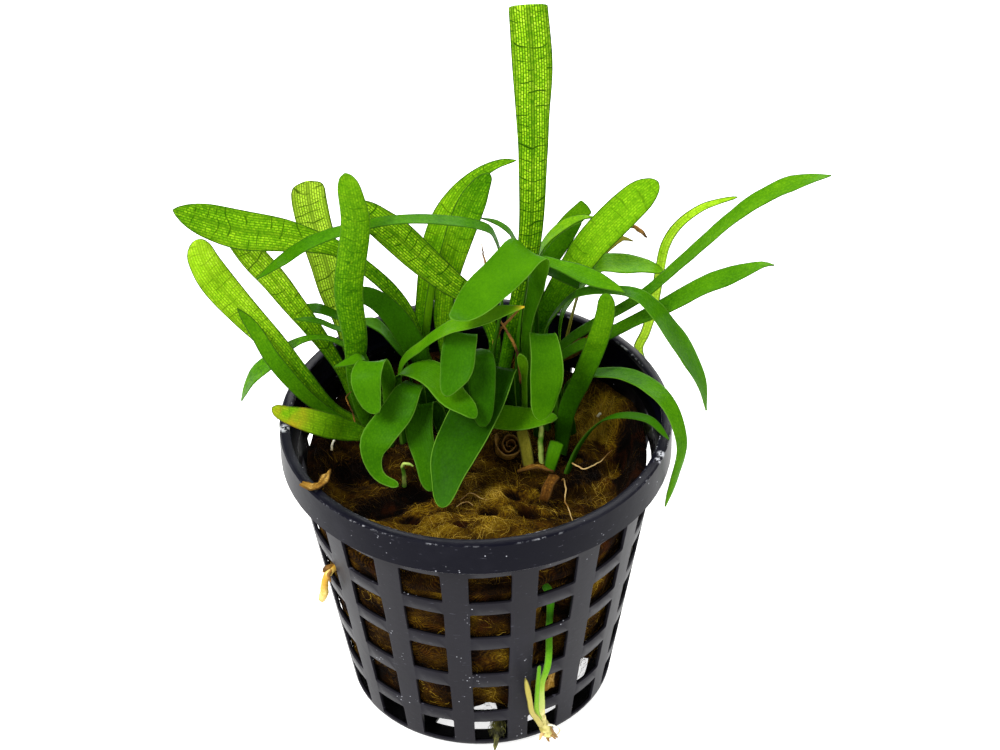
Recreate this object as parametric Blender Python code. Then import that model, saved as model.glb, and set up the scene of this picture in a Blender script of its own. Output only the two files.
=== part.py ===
import math

import bmesh
import bpy
from mathutils import Matrix, Vector, noise

MM = 0.001
SMALL = 0.1 * MM
MERGE_DISTANCE = 0.01 * MM

# Net pot: outer faces, heights above the surface it stands on.
POT_FOOT_RADIUS = 18.6 * MM
POT_WALL_BASE_RADIUS = 19.0 * MM
POT_SHOULDER_RADIUS = 25.6 * MM
POT_SHOULDER_HEIGHT = 41.0 * MM
POT_COLLAR_RADIUS = 27.5 * MM
POT_LIP_INNER_RADIUS = 26.0 * MM
POT_HEIGHT = 46.3 * MM
POT_THICKNESS = 1.0 * MM
POT_HUB_RADIUS = 5.0 * MM
POT_FLOOR_RING_RADIUS = 15.8 * MM
WINDOW_COLUMNS = 16
FACETS_PER_COLUMN = 3
WINDOW_HALF_ANGLE = math.radians(6.9)
FRONT_COLUMN_ANGLE = math.radians(3.2)
WINDOW_BANDS = [
    (1.4 * MM, 6.0 * MM),
    (8.3 * MM, 14.1 * MM),
    (16.8 * MM, 22.6 * MM),
    (25.0 * MM, 30.4 * MM),
    (32.7 * MM, 38.3 * MM),
]
SPOKE_STEP = 2

# Rockwool plug.
WOOL_BOTTOM = 5.8 * MM
WOOL_TOP = 36.0 * MM
WOOL_SEGMENTS = 24
WOOL_MIDDLE_GAP = 2.05 * MM
WOOL_GAP_SWING = 0.75 * MM
WOOL_BOTTOM_RADII = [0, 9 * MM, 16 * MM]
WOOL_SIDE_HEIGHTS = [6.6 * MM, 13.5 * MM, 20 * MM, 26 * MM, 31 * MM, 33.8 * MM]
WOOL_TOP_SHARES = [0.93, 0.8, 0.64, 0.48, 0.32, 0.16, 0]
WOOL_SIDE_ROUGHNESS = 0.3 * MM
WOOL_BOTTOM_ROUGHNESS = 0.9 * MM
WOOL_LUMPS_PER_METRE = 230
# Mounds and hollows of the top: x, y, spread, height, in millimetres.
WOOL_MOUNDS = [
    (-12, -14, 5, 1.0),
    (-3, -17, 4, 1.4),
    (4, -12, 4, 0.8),
    (9, -16, 4.5, 1.0),
    (12, -6, 4, -1.8),
    (19, -4, 4, -2.5),
    (19, 7, 4, -2.5),
    (-19, -5, 4, -1.0),
    (1, 24, 4, -2.5),
    (-12, 20, 4, -1.5),
]

# Leaves.
LEAF_THICKNESS = 0.5 * MM
LEAF_STEP = 5.0 * MM
LEAF_CHANNEL = 0.05
STAND_GAP = 0.6 * MM
CURVE_STEPS = 10

LIGHT = "leaf_light"
GREEN = "leaf_green"
OLD = "leaf_old"

# Each leaf: name, material, width directions spread evenly from base to tip, and its route in millimetres as
# x, y, height, width. The height of the first point is None where the leaf stands on the plug.
LEAVES = [
    ("leaf_left_1", GREEN, [(0.9, 0.3, 0.1), (1, 0, 0), (1, 0, 0)],
     [(-14.5, 9, None, 1.3), (-16, 8, 41, 2), (-17, 7, 47.5, 2), (-16.5, 6.5, 54.5, 3.3),
      (-17, 5.5, 64.5, 4), (-15.5, 4.5, 76.5, 4), (-16, 4, 82, 3.3), (-16.5, 4, 85, 1.1)]),
    ("leaf_left_2", LIGHT,
     [(0.9, 0.3, 0.3), (0.7, 0.4, 0.5), (0.3, 0.6, 0.8), (0.2, 0.6, 0.8), (0.4, 0.6, 0.7)],
     [(-3, 11.5, None, 1.4), (-7.5, 11.5, 50, 1.4), (-9, 11, 56, 1.8), (-12, 10.5, 61.5, 2),
      (-18, 10, 68, 2.2), (-22, 10, 69.8, 3.3), (-26, 9.5, 71.3, 4.6), (-31.5, 9, 72.7, 5.4),
      (-36.5, 8.5, 75, 4.6), (-40.3, 8, 77, 1.3)]),
    ("leaf_left_3", LIGHT, [(0.8, 0.4, 0.4)],
     [(-15.8, 11, None, 1.5), (-18.7, 11, 45.5, 1.6), (-21.1, 11, 51, 2.2),
      (-25.6, 10.8, 59.3, 3.3), (-27.7, 10.8, 63, 3.6), (-30.2, 11.2, 66.4, 3.7),
      (-32.7, 12.3, 70, 3.3), (-34, 13, 72, 1.4)]),
    ("leaf_left_4", LIGHT, [(0.9, 0.3, 0.3), (1, 0.2, 0.1)],
     [(-13.5, 13.8, None, 1.5), (-17.1, 14.5, 45, 2), (-18.4, 15, 52.3, 3.1),
      (-19.6, 15, 57.3, 4), (-20.4, 15, 62.3, 4.5), (-21.7, 15, 69, 4.8), (-22.2, 15, 73, 4.9),
      (-22.3, 15, 76.2, 4.7)]),
    ("leaf_left_5", LIGHT, [(0.6, 0.5, 0.6), (0.7, 0.5, 0.5), (0.8, 0.4, 0.5), (0.9, 0.3, 0.3)],
     [(-16, 9.5, 37, 1.2), (-17.5, 8.5, 39, 1.4), (-20.5, 7.5, 42, 2), (-23.6, 6.5, 47.5, 2.7),
      (-27.6, 7, 54, 3.3), (-31.7, 7.5, 59.5, 4.2), (-35.1, 6.6, 65.8, 4.7),
      (-36.7, 5.8, 70.4, 4.1), (-37.1, 4.9, 74.2, 1.4)]),
    ("leaf_left_6", GREEN, [(0.6, 0.5, 0.6), (0.8, 0.4, 0.5)],
     [(-15.5, 7, 37, 1.2), (-17.5, 6.5, 39, 1.3), (-21.5, 5.5, 43.5, 1.6), (-24.5, 4.7, 47.7, 2),
      (-28, 4.9, 53.2, 2.2), (-30.5, 6, 58, 1.8), (-32.5, 6, 61.5, 0.6)]),
    ("leaf_left_7", LIGHT, [(0, 1, 0)],
     [(-13.2, 12, None, 1.2), (-17.5, 9.5, 51, 1.4), (-20, 8.8, 53.6, 1.3),
      (-22.5, 8.5, 54.2, 1.3), (-25, 9.2, 52.8, 2), (-28.3, 10, 49.5, 4), (-31.4, 9.5, 47, 4.7),
      (-33, 9.5, 44, 3.8), (-33.4, 9.5, 42.5, 1.1)]),
    ("leaf_left_8", GREEN, [(0, 1, 0)],
     [(-12, 11, None, 1), (-17, 9, 54, 1.3), (-19.5, 9, 55.5, 1.2), (-22, 8.8, 57, 1.3),
      (-25, 8.5, 57.5, 0.8)]),
    ("leaf_left_9", GREEN, [(0, 1, 0)],
     [(-12, 13, None, 1), (-17.5, 12.1, 53.5, 1.6), (-21.1, 12.9, 55.7, 2.2),
      (-24.1, 14, 55.4, 2.2), (-25.6, 14.2, 55.2, 1)]),
    ("leaf_left_10", LIGHT, [(0.9, 0.3, 0.3), (0.4, 0.6, 0.7), (0.3, 0.6, 0.7), (0.5, 0.6, 0.7)],
     [(-15, 5, None, 1.6), (-15.5, 3, 40.5, 2), (-18.5, 1.5, 43, 3.1), (-20.5, 0, 45, 3.5),
      (-23.5, -1.5, 47.5, 3.3), (-26.5, -2.5, 49.5, 2.2), (-28, -3, 51, 0.7)]),
    ("leaf_left_11", GREEN, [(0.6, -0.8, -0.1), (0.4, -0.9, 0)],
     [(-13.2, 10, None, 1.2), (-14.4, 6.2, 49.4, 1.2), (-15.6, 4.5, 53.7, 1.8), (-17, 3.5, 53.8, 2.5),
      (-19.5, 2.5, 53.5, 0.8)]),
    ("leaf_left_12", GREEN, [(1, -0.2, 0), (0.9, -0.4, 0.1), (0.9, 0, 0.4)],
     [(-12.5, 6.5, None, 1.4), (-12.3, 5.3, 45.4, 1.5), (-12.3, 3.6, 50.8, 2.6), (-14, 2, 55, 4.2),
      (-15, -0.5, 54, 4.5), (-14.5, -2, 51, 3.4), (-13.5, -3, 49.5, 1)]),
    ("leaf_left_13", GREEN, [(1, -0.2, 0.1), (0.9, -0.4, -0.2), (1, -0.1, 0.1), (0.5, 0.8, 0.4)],
     [(-7.5, 8.5, None, 1.5), (-8, 6, 46.8, 2.2), (-9, 2, 50, 3.4), (-11, -0.5, 47.5, 4.6),
      (-14, -3.5, 45, 4.3), (-14.5, -5, 43, 2.8), (-13.5, -6.5, 41, 1.6), (-11, -8, 40.5, 1)]),
    ("leaf_left_14", GREEN, [(0.6, 0.7, 0.2), (0.6, 0.8, 0)],
     [(-10.3, 7, None, 1.4), (-10.7, 6.8, 43.8, 1.4), (-10.6, 5.7, 49.5, 1.9), (-7.7, 3.9, 51.8, 4.2),
      (-5, 1.3, 52, 4.8), (-3.2, -1.7, 51.2, 4.5), (-1, -3.8, 50.5, 3.4), (0, -4.8, 49.7, 1.4)]),
    ("leaf_left_15", GREEN, [(0, 1, 0)],
     [(-8, 10.8, None, 1.3), (-9.6, 10.3, 48, 1.6), (-11.6, 9.2, 53, 2.6), (-13.2, 8.7, 55.8, 2.9),
      (-15.5, 8.5, 57, 1.9)]),
    ("leaf_left_16", GREEN, [(0.9, 0.2, 0.3), (0.9, 0.3, 0.4), (0.4, 0.6, 0.7)],
     [(-5, 10, None, 1.4), (-7.5, 9, 49.2, 2.5), (-9, 8.8, 53.3, 3.5), (-11, 8.5, 57.6, 3.3),
      (-13.5, 8.2, 60.8, 2.8), (-16.5, 8.2, 62.3, 1.4)]),
    ("leaf_middle_1", LIGHT, [(1, -0.1, -0.1), (1, 0, 0)],
     [(3, 16, None, 1.6), (5.5, 14, 50.5, 2), (8.1, 12.8, 66.5, 3.2), (8.7, 11.8, 82, 4),
      (8.7, 11.3, 88.5, 4.5), (8.7, 10.8, 97, 5.4), (8.2, 10.3, 106.6, 5)]),
    ("leaf_middle_2", GREEN, [(0.65, -0.75, 0)],
     [(8, 11.5, None, 1.6), (7.5, 9.5, 54, 1.9), (9, 8.5, 64, 3.6), (8, 6, 70.5, 6.4),
      (4, 1.5, 69.5, 6.8), (1, -1, 68, 6.4), (-1.5, -3, 66.5, 4.9), (-3, -4, 66.5, 1.6)]),
    ("leaf_middle_3", GREEN, [(0.7, -0.7, -0.1), (0.2, -0.9, -0.4), (-0.2, -1, -0.2), (0, -1, -0.1)],
     [(-10, 9, None, 1.4), (-10.5, 8.6, 48, 1.3), (-7, 4, 56, 1.9), (-3, 0.8, 61.5, 2.8),
      (1, -0.7, 64, 3.5), (4.5, -1.2, 65.5, 3), (7, -1.2, 66, 1.1)]),
    ("leaf_middle_4", GREEN, [(0.9, -0.4, 0)],
     [(5.5, 10.3, None, 1.6), (4, 7, 48, 3.6), (3.5, 5, 51, 5.2), (1.5, 2, 49, 6.6), (-1, -1.5, 46, 7),
      (-3.5, -5.5, 43, 6.2), (-4.5, -8.5, 40.5, 3.9), (-5, -10.5, 38.5, 1.3)]),
    ("leaf_middle_5", GREEN, [(1, 0, 0)],
     [(-2, 6, None, 1.4), (-2.2, 5.2, 48, 1.6), (-1, 4.8, 54, 2.4), (1, 2, 55, 3.4), (1, 0.3, 52, 3.8),
      (1, -1.8, 49.3, 3.2), (1, -3.3, 46.8, 1.2)]),
    ("leaf_middle_6", GREEN, [(1, -0.2, -0.1)],
     [(-1.5, 9, None, 1.6), (-2, 6.6, 52, 2.4), (-1.5, 2.5, 59.2, 4.2), (-2, 1, 57.7, 4.7),
      (-2.5, -1, 55.3, 4.6), (-3.5, -2.5, 53.7, 3.2), (-4, -3.7, 52.8, 1.2)]),
    ("leaf_middle_7", GREEN, [(0.9, -0.1, 0.4), (1, 0, 0), (1, 0.2, 0.1)],
     [(-4, 6, None, 1.5), (-5.5, 4.5, 43.5, 2.4), (-7.5, 3.2, 46, 3.6), (-8, 0, 44, 3.9),
      (-7, -4, 41, 3.1), (-6.5, -7, 38.5, 1.2)]),
    ("leaf_middle_8", GREEN, [(0.3, 0.9, 0), (0.3, 0.9, 0.4), (0.1, 1, 0)],
     [(0.5, 7, 36.9, 1.4), (2, 4, 42.5, 3.6), (6.5, 3, 43, 4.1), (10, 2.5, 43.5, 3.2),
      (11.5, 2.5, 43.5, 1.1)]),
    ("leaf_middle_9", GREEN, [(1, 0, 0)],
     [(7, 7.5, None, 0.8), (7, 6, 47.5, 0.8), (7, 5.5, 49, 0.9), (6.8, 5, 51.5, 1.5), (6.4, 5, 53, 0.7)]),
    ("leaf_middle_10", LIGHT, [(1, -0.1, -0.2), (0.8, 0.3, 0.5), (0.7, 0.4, 0.6)],
     [(0, 11.8, None, 1.4), (3, 10.5, 50.5, 1.7), (0.5, 10.5, 58, 2.5), (-3, 10, 62, 3.6),
      (-7, 9.5, 66.8, 4.4), (-10.5, 9.5, 71, 4.6), (-13.5, 9.5, 74, 3.8),
      (-15.5, 9.5, 76.3, 1.4)]),
    ("leaf_middle_11", GREEN, [(0, 1, 0)],
     [(1.5, 10.3, None, 1.4), (2.5, 9, 49, 1.4), (4, 8, 60.5, 1.6), (4, 8, 68, 1.6),
      (3.5, 8, 70.5, 1.8), (2.5, 8, 72.5, 2.1), (-1.5, 7.5, 74.2, 2.3), (-9.5, 7, 75.2, 2.2),
      (-17.5, 6.8, 73.7, 2.5), (-22, 6, 72.4, 3.2), (-26, 6, 69.5, 3.5), (-29.5, 6, 66.5, 0.9)]),
    ("leaf_middle_12", OLD, [(1, 0.1, 0.1)],
     [(7.5, 1, None, 1.6), (7, 2, 38.5, 1.7), (6.5, 3.5, 40.5, 1.4)]),
    ("leaf_right_1", GREEN,
     [(0.7, -0.7, -0.1), (0.4, -0.9, -0.3), (-0.4, -0.9, -0.2), (-0.3, -0.9, -0.2)],
     [(6.3, 13, None, 1.3), (6.5, 12.2, 52, 1.2), (9, 11.3, 64.4, 1.4), (12, 9.5, 65, 2),
      (15, 7.5, 65, 2.9), (17.5, 6, 64.7, 2.9), (20, 5, 64, 2.2), (21, 4.5, 63.5, 0.6)]),
    ("leaf_right_2", GREEN, [(0.7, -0.7, 0), (0.5, -0.9, -0.2), (-0.2, -1, -0.2)],
     [(8.7, 13, None, 1.2), (9, 12.3, 52, 1.1), (9, 12, 60, 1.2), (9.2, 11.8, 62.3, 1.4),
      (10.5, 11, 63.2, 2), (12.5, 10.3, 62.5, 2.2), (15, 10.3, 61, 1.6)]),
    ("leaf_right_3", GREEN, [(0.3, 0.9, 0), (0.2, 1, 0), (0.4, 0.9, -0.2)],
     [(10.5, 9.6, None, 1.5), (10, 9.3, 53, 1.6), (12, 8.5, 58.3, 1.6), (15, 8, 61.3, 2),
      (21, 6.5, 62.5, 2.4), (24, 5.5, 61.5, 3.6), (27.3, 4, 57.5, 5.2), (30.3, 2.5, 53, 5.3),
      (31.8, 1, 49.5, 4.6), (32.3, 0, 46.1, 1.3)]),
    ("leaf_right_4", GREEN, [(-0.1, 1, 0)],
     [(12, 10.8, None, 1.5), (11.5, 10.6, 48.3, 1.8), (13.5, 10.5, 51, 2.2),
      (17, 10.5, 53.8, 2.2), (23.5, 11, 58, 2.4), (29, 11.3, 63.5, 2.7), (37, 11.5, 71.8, 3.3),
      (42.5, 12, 75.3, 3.6), (47, 12, 76.8, 3), (49.5, 12.5, 76.8, 0.9)]),
    ("leaf_right_5", GREEN, [(-0.1, 1, 0)],
     [(12, 7, None, 1.5), (11.8, 7, 50, 1.8), (14, 7.3, 52, 2.2), (19, 7.6, 54.3, 2.7),
      (23.5, 8.3, 56.4, 2.8), (27.5, 9, 58.2, 3.8), (31.5, 9, 60.8, 4.1), (37, 9, 63.3, 3.9),
      (40.5, 9.5, 64.2, 2.3), (42, 9.5, 64, 0.7)]),
    ("leaf_right_6", LIGHT, [(1, 0, 0), (0.8, -0.4, -0.4), (0.6, -0.5, -0.6)],
     [(10.5, 14, None, 1.6), (9.5, 14, 50.5, 2.3), (11.5, 14.2, 55.5, 3.4),
      (14.2, 14.3, 60.5, 4.2), (16.8, 14.3, 65, 4.7), (20.5, 14.5, 69.5, 4.9),
      (23.6, 14.8, 72.7, 4.4), (26, 15, 74.7, 1.7)]),
    ("leaf_right_7", GREEN, [(1, 0, -0.1), (0.95, 0.1, -0.3), (1, 0, -0.1), (1, 0, 0)],
     [(9, 8, None, 1.5), (9.5, 6.5, 51.5, 1.7), (9.5, 4, 57.5, 3.6), (10, 1.5, 55.5, 4.3),
      (10, 0.5, 52, 4.6), (9.5, 0, 48.5, 3.6), (9, -0.5, 45.5, 1.1)]),
    ("leaf_right_8", GREEN, [(0.9, -0.3, -0.3), (1, -0.1, -0.1)],
     [(12, 4.8, None, 1.6), (13, 5.2, 42.5, 2.5), (15, 5.2, 48, 2.8), (17, 5.2, 54, 3),
      (18.3, 4.7, 59.9, 2.7), (18.4, 4.2, 63.9, 0.8)]),
    ("leaf_right_9", GREEN, [(0.9, -0.3, -0.3)],
     [(10, 0.5, None, 1.4), (11, 1.5, 38, 2), (11.5, 2.5, 39, 2)]),
    ("leaf_right_10", GREEN, [(0.5, 0.8, -0.2), (0.7, 0.7, 0)],
     [(12.5, 1, None, 1.2), (14.5, 0.5, 40, 1.4), (17.5, -1, 45.5, 1.7), (20.5, -3.5, 48.5, 2),
      (24, -6, 49.5, 1.5), (26.5, -8.5, 48, 0.6)]),
    ("leaf_right_11", GREEN, [(0.7, 0.7, 0), (0.6, 0.8, -0.1), (0.7, 0.7, -0.2)],
     [(14, 9.5, None, 1.5), (13.2, 9, 43.5, 1.8), (14.5, 8.5, 46.2, 2.4), (17.5, 7, 47.8, 3),
      (21.6, 3.5, 50, 3.2), (25.4, -1.5, 50.7, 3.1), (27.4, -5, 49.5, 2.7),
      (28.4, -7, 45.5, 2.4), (27.4, -7.5, 40, 1.9), (26.2, -8, 35.5, 0.8)]),
    ("leaf_right_12", GREEN, [(0, 1, 0)],
     [(12.5, 14.5, None, 1.2), (12.5, 15.5, 51, 1.8), (16, 16, 57.5, 2.8), (18, 16, 60.2, 4),
      (21, 16, 60.2, 4.8), (24.5, 16, 59.7, 3.5), (27, 15.5, 59, 0.8)]),
    ("leaf_back_1", LIGHT, [(0.4, -0.8, 0.3), (0.9, -0.2, -0.2), (0.9, -0.3, -0.3), (0.1, -0.6, -0.8)],
     [(19, 9, 34, 1.2), (20.8, 10, 34.5, 1.2), (23.5, 12, 35.5, 1.2), (25.5, 15, 39, 1.3),
      (23.8, 17.5, 43.4, 1.4), (24.8, 18, 46.1, 1.4), (25.8, 18.5, 49.7, 1.4),
      (26.4, 18.5, 53.8, 1.4), (26.8, 18.5, 57.4, 1.4), (27.5, 17.8, 62.1, 1.4),
      (29.2, 17, 66, 1.3), (32.1, 16, 69.4, 1.1), (34.7, 15.3, 71, 0.8), (37.1, 14.5, 72.2, 0.4)]),
    ("leaf_back_2", GREEN, [(1, 0, 0)],
     [(-7.5, 13, None, 1), (-6.8, 12.6, 50.4, 1.1), (-6.3, 12.1, 55.4, 1.2),
      (-5.8, 11.8, 58.9, 1.1), (-5.5, 11.7, 60.8, 0.7)]),
    ("leaf_back_3", LIGHT, [(1, 0.1, 0.1), (1, 0, -0.1), (0.3, -0.5, -0.8)],
     [(-6.8, 16.4, None, 1.5), (-7.5, 15.2, 50.8, 1.7), (-7, 15.4, 55.8, 2),
      (-6.3, 15.6, 60.2, 2.5), (-5.4, 15.8, 64, 3.2), (-4.1, 16, 67.8, 3.5),
      (-2.8, 16.2, 70.7, 3.1), (-0.9, 16.4, 73.7, 2.2), (1.8, 16.8, 75.9, 1.7),
      (4.3, 17.2, 77, 1.1), (6.6, 17.5, 77.2, 0.6)]),
    ("leaf_back_4", LIGHT, [(1, 0.1, 0.1), (0.9, -0.2, -0.3)],
     [(-2.2, 14, None, 1.5), (-4.3, 13.2, 52.2, 2.4), (-4, 13, 56.8, 2.8), (-3.2, 13, 61.7, 3.4),
      (-2, 13, 66.5, 3.9), (-0.6, 13.2, 70.9, 4.1), (0.6, 13.4, 73.9, 3.7),
      (1.8, 13.5, 76.3, 2.5), (2.8, 13.6, 77.7, 1)]),
    ("leaf_back_5", GREEN, [(1, -0.1, -0.1), (0.7, -0.5, -0.6)],
     [(7.5, 17.8, None, 1.3), (10, 21, 55.5, 1.8), (12, 21.8, 60.3, 2.3), (14, 22, 63.2, 2.5),
      (16.5, 22, 66, 1.4)]),
    ("leaf_back_6", GREEN, [(0, 1, 0)],
     [(5.5, 17.5, None, 1.2), (9, 19.3, 58, 1.8), (10.5, 19.3, 62, 2.4), (13, 19.3, 64.6, 2.6),
      (15.5, 19.5, 65.8, 1.9), (17.5, 19.5, 65.8, 1)]),
    ("leaf_back_7", GREEN, [(1, -0.1, -0.1), (0.6, -0.5, -0.6)],
     [(8, 16, None, 1.3), (9.5, 16.5, 58.3, 2), (11.5, 16.6, 61.6, 2.5), (13.5, 16.8, 64.4, 2),
      (15.5, 16.8, 66.8, 0.7)]),
    ("leaf_back_8", GREEN, [(0, 1, 0)],
     [(6, 15.7, None, 1), (6.9, 15, 62.3, 1.7), (5.7, 14.8, 66.6, 1.8), (4.1, 14.8, 68.4, 1.4),
      (2.7, 14.8, 69.1, 1), (1.5, 14.8, 69.5, 0.4)]),
    ("leaf_back_9", OLD, [(0, 1, 0)],
     [(11, 16, None, 1), (16, 19.5, 55.7, 1.6), (19, 20, 59.5, 1.9), (21.5, 20.2, 61.5, 1.7),
      (23, 20.3, 60.9, 0.8)]),
    ("dead_core", "root_tan", [(0, 0, 1)],
     [(6.3, 4, 37.8, 2.2), (5, 5.2, 37.8, 2.4), (3.5, 4.6, 37.8, 2.4), (3.1, 2.8, 37.8, 2.4),
      (4.4, 1.7, 37.8, 2.2), (5.6, 2.7, 37.8, 1.8)]),
    ("runner_leaf_main", LIGHT, [(0.9, 0.4, 0)],
     [(8.1, -19.5, 6.9, 1.3), (8.1, -19.8, 9, 1.4), (8.1, -20.1, 11.2, 1.3), (8.3, -20.5, 14.1, 1.2),
      (8.8, -20.9, 16, 1.1), (9.2, -20.8, 17.5, 1.1), (9.4, -20.1, 18.9, 1), (9.5, -18.5, 20.1, 1),
      (9.5, -17.7, 21.5, 1.1), (9.6, -18, 24.2, 1.1), (9.7, -18.6, 27, 1.2), (9.7, -19.1, 29.5, 1.2),
      (9, -19.7, 31.7, 1.2), (8.2, -20.3, 33, 0.7)]),
    ("runner_leaf_small", LIGHT, [(0.9, 0.4, 0)],
     [(7.6, -20.9, 8.6, 0.7), (7.6, -21.4, 11.4, 0.7), (7.7, -21.7, 13.8, 0.7), (8, -22.1, 18.9, 0.5)]),
    ("runner_leaf_pale", OLD, [(0.9, 0.4, 0)],
     [(6.9, -22, 9.7, 0.8), (6.6, -22.5, 12.5, 0.8), (6.3, -22.9, 15.1, 0.8), (6, -23.3, 17.7, 0.4)]),
    ("dried_flake", "root_tan", [(0.6, 0.8, 0), (-0.2, 1, 0), (-0.95, 0.3, 0)],
     [(-23.9, -14.4, 47.2, 0.8), (-22.6, -15.3, 47.2, 1.2), (-21.6, -15.1, 47.2, 0.8),
      (-20.9, -13.7, 47.2, 1.2), (-20.1, -11.5, 46.9, 0.5)]),
]

# The bent shoot at a left window: x, y, height in millimetres.
SHOOT_ROUTE = [
    (-19.4, -9.6, 27.6),
    (-20.8, -10.9, 27.9),
    (-21.7, -11.9, 26.9),
    (-22.0, -11.8, 24.4),
    (-22.5, -10.5, 21.4),
]
SHOOT_RADIUS = 0.5 * MM
SHOOT_TIP_SCALE = 0.4
SHOOT_STEP = 1.1 * MM

# Root crown of the young plant and the tuft in the lowest front window: end points in millimetres.
CROWN_ENDS = [(8.1, -19.1, 5.6), (9.7, -18.1, 1.0)]
CROWN_HALF_WIDTH = 0.75 * MM
TUFT_ENDS = [(2.1, -17.6, 4.2), (1.8, -20.4, 3.0)]
TUFT_HALF_WIDTH = 0.9 * MM

SMOOTH_ANGLE = math.radians(35)

MATERIALS = {
    "pot_plastic": ((0.012, 0.014, 0.019), 0.32),
    "rockwool": ((0.155, 0.095, 0.028), 0.95),
    "leaf_green": ((0.055, 0.27, 0.02), 0.4),
    "leaf_light": ((0.22, 0.5, 0.03), 0.42),
    "leaf_old": ((0.3, 0.32, 0.07), 0.6),
    "root_tan": ((0.42, 0.25, 0.09), 0.75),
}


def make_materials():
    made = {}
    for name, (colour, roughness) in MATERIALS.items():
        material = bpy.data.materials.new(name)
        material.use_nodes = True
        surface = material.node_tree.nodes["Principled BSDF"]
        surface.inputs["Base Color"].default_value = (*colour, 1)
        surface.inputs["Roughness"].default_value = roughness
        surface.inputs["Metallic"].default_value = 0
        made[name] = material
    return made


def add_object(name, bm, material):
    bmesh.ops.recalc_face_normals(bm, faces=bm.faces)
    mesh = bpy.data.meshes.new(name)
    bm.to_mesh(mesh)
    bm.free()
    mesh.shade_smooth()
    mesh.set_sharp_from_angle(angle=SMOOTH_ANGLE)
    mesh.materials.append(material)
    made = bpy.data.objects.new(name, mesh)
    bpy.context.collection.objects.link(made)
    return made


def add_solidify(made, thickness, offset):
    solid = made.modifiers.new("thickness", "SOLIDIFY")
    solid.thickness = thickness
    solid.offset = offset
    solid.use_even_offset = True
    return solid


def wall_radius(height):
    # Outer radius of the tapered pot wall, which meets the narrower foot in a short slope.
    grow = (POT_SHOULDER_RADIUS - POT_WALL_BASE_RADIUS) / POT_SHOULDER_HEIGHT
    return POT_WALL_BASE_RADIUS + grow * height


def spin_profile(bm, profile, segments):
    # Turns a list of radius, height points about the vertical axis.
    verts = [bm.verts.new((0, -radius, height)) for radius, height in profile]
    edges = [bm.edges.new(pair) for pair in zip(verts, verts[1:])]
    bmesh.ops.spin(bm, geom=verts + edges, cent=(0, 0, 0), axis=(0, 0, 1), angle=math.tau, steps=segments,
                   use_merge=True)
    bmesh.ops.remove_doubles(bm, verts=bm.verts, dist=MERGE_DISTANCE)


def angle_from_front(point):
    return math.atan2(point.x, -point.y)


def shift_facet_lines(bm):
    # Moves the evenly turned lines so that each window and each rib gets its own width.
    facet = math.tau / (WINDOW_COLUMNS * FACETS_PER_COLUMN)
    for vert in bm.verts:
        radius = math.hypot(vert.co.x, vert.co.y)
        if radius < SMALL:
            continue
        line = round(angle_from_front(vert.co) / facet)
        place = (line + 1) % FACETS_PER_COLUMN - 1
        angle = (line - place) * facet + place * WINDOW_HALF_ANGLE + FRONT_COLUMN_ANGLE
        vert.co.x = radius * math.sin(angle)
        vert.co.y = -radius * math.cos(angle)


def column_place(face):
    # Number of the column a face lies in, and whether it belongs to the rib between two window columns.
    column = math.tau / WINDOW_COLUMNS
    turn = (angle_from_front(face.calc_center_median()) - FRONT_COLUMN_ANGLE) / column
    number = round(turn)
    on_rib = abs(turn - number) * column > WINDOW_HALF_ANGLE
    rib_number = math.floor(turn)
    return rib_number, on_rib


def make_pot(material):
    profile = [(0, 0), (POT_HUB_RADIUS, 0), (POT_FLOOR_RING_RADIUS, 0), (POT_FOOT_RADIUS, 0)]
    heights = [edge for band in WINDOW_BANDS for edge in band]
    for height in heights:
        profile.append((wall_radius(height), height))
    profile.append((POT_SHOULDER_RADIUS, POT_SHOULDER_HEIGHT))
    profile.append((POT_COLLAR_RADIUS, POT_SHOULDER_HEIGHT))
    profile.append((POT_COLLAR_RADIUS, POT_HEIGHT))
    profile.append((POT_LIP_INNER_RADIUS, POT_HEIGHT))
    bm = bmesh.new()
    spin_profile(bm, profile, WINDOW_COLUMNS * FACETS_PER_COLUMN)
    shift_facet_lines(bm)
    openings = []
    for face in bm.faces:
        centre = face.calc_center_median()
        radius = math.hypot(centre.x, centre.y)
        rib_number, on_rib = column_place(face)
        in_window = any(low < centre.z < high for low, high in WINDOW_BANDS) and not on_rib
        on_floor = centre.z < SMALL and POT_HUB_RADIUS < radius < POT_FLOOR_RING_RADIUS
        is_spoke = on_rib and rib_number % SPOKE_STEP == 0
        if in_window or on_floor and not is_spoke:
            openings.append(face)
    bmesh.ops.delete(bm, geom=openings, context="FACES")
    pot = add_object("pot", bm, material)
    add_solidify(pot, POT_THICKNESS, -1)
    return pot


def wool_height(x, y):
    # Height of the plug's top at a place, from its mounds and hollows.
    height = WOOL_TOP
    for mound_x, mound_y, spread, rise in WOOL_MOUNDS:
        distance = math.hypot(x / MM - mound_x, y / MM - mound_y)
        height += rise * MM * math.exp(-0.5 * (distance / spread) ** 2)
    return height


def wool_radius(angle, height):
    # The plug is pressed to the wall at the left and stands off it at the right.
    gap = WOOL_MIDDLE_GAP + WOOL_GAP_SWING * math.sin(angle)
    return wall_radius(height) - POT_THICKNESS - gap


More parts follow.
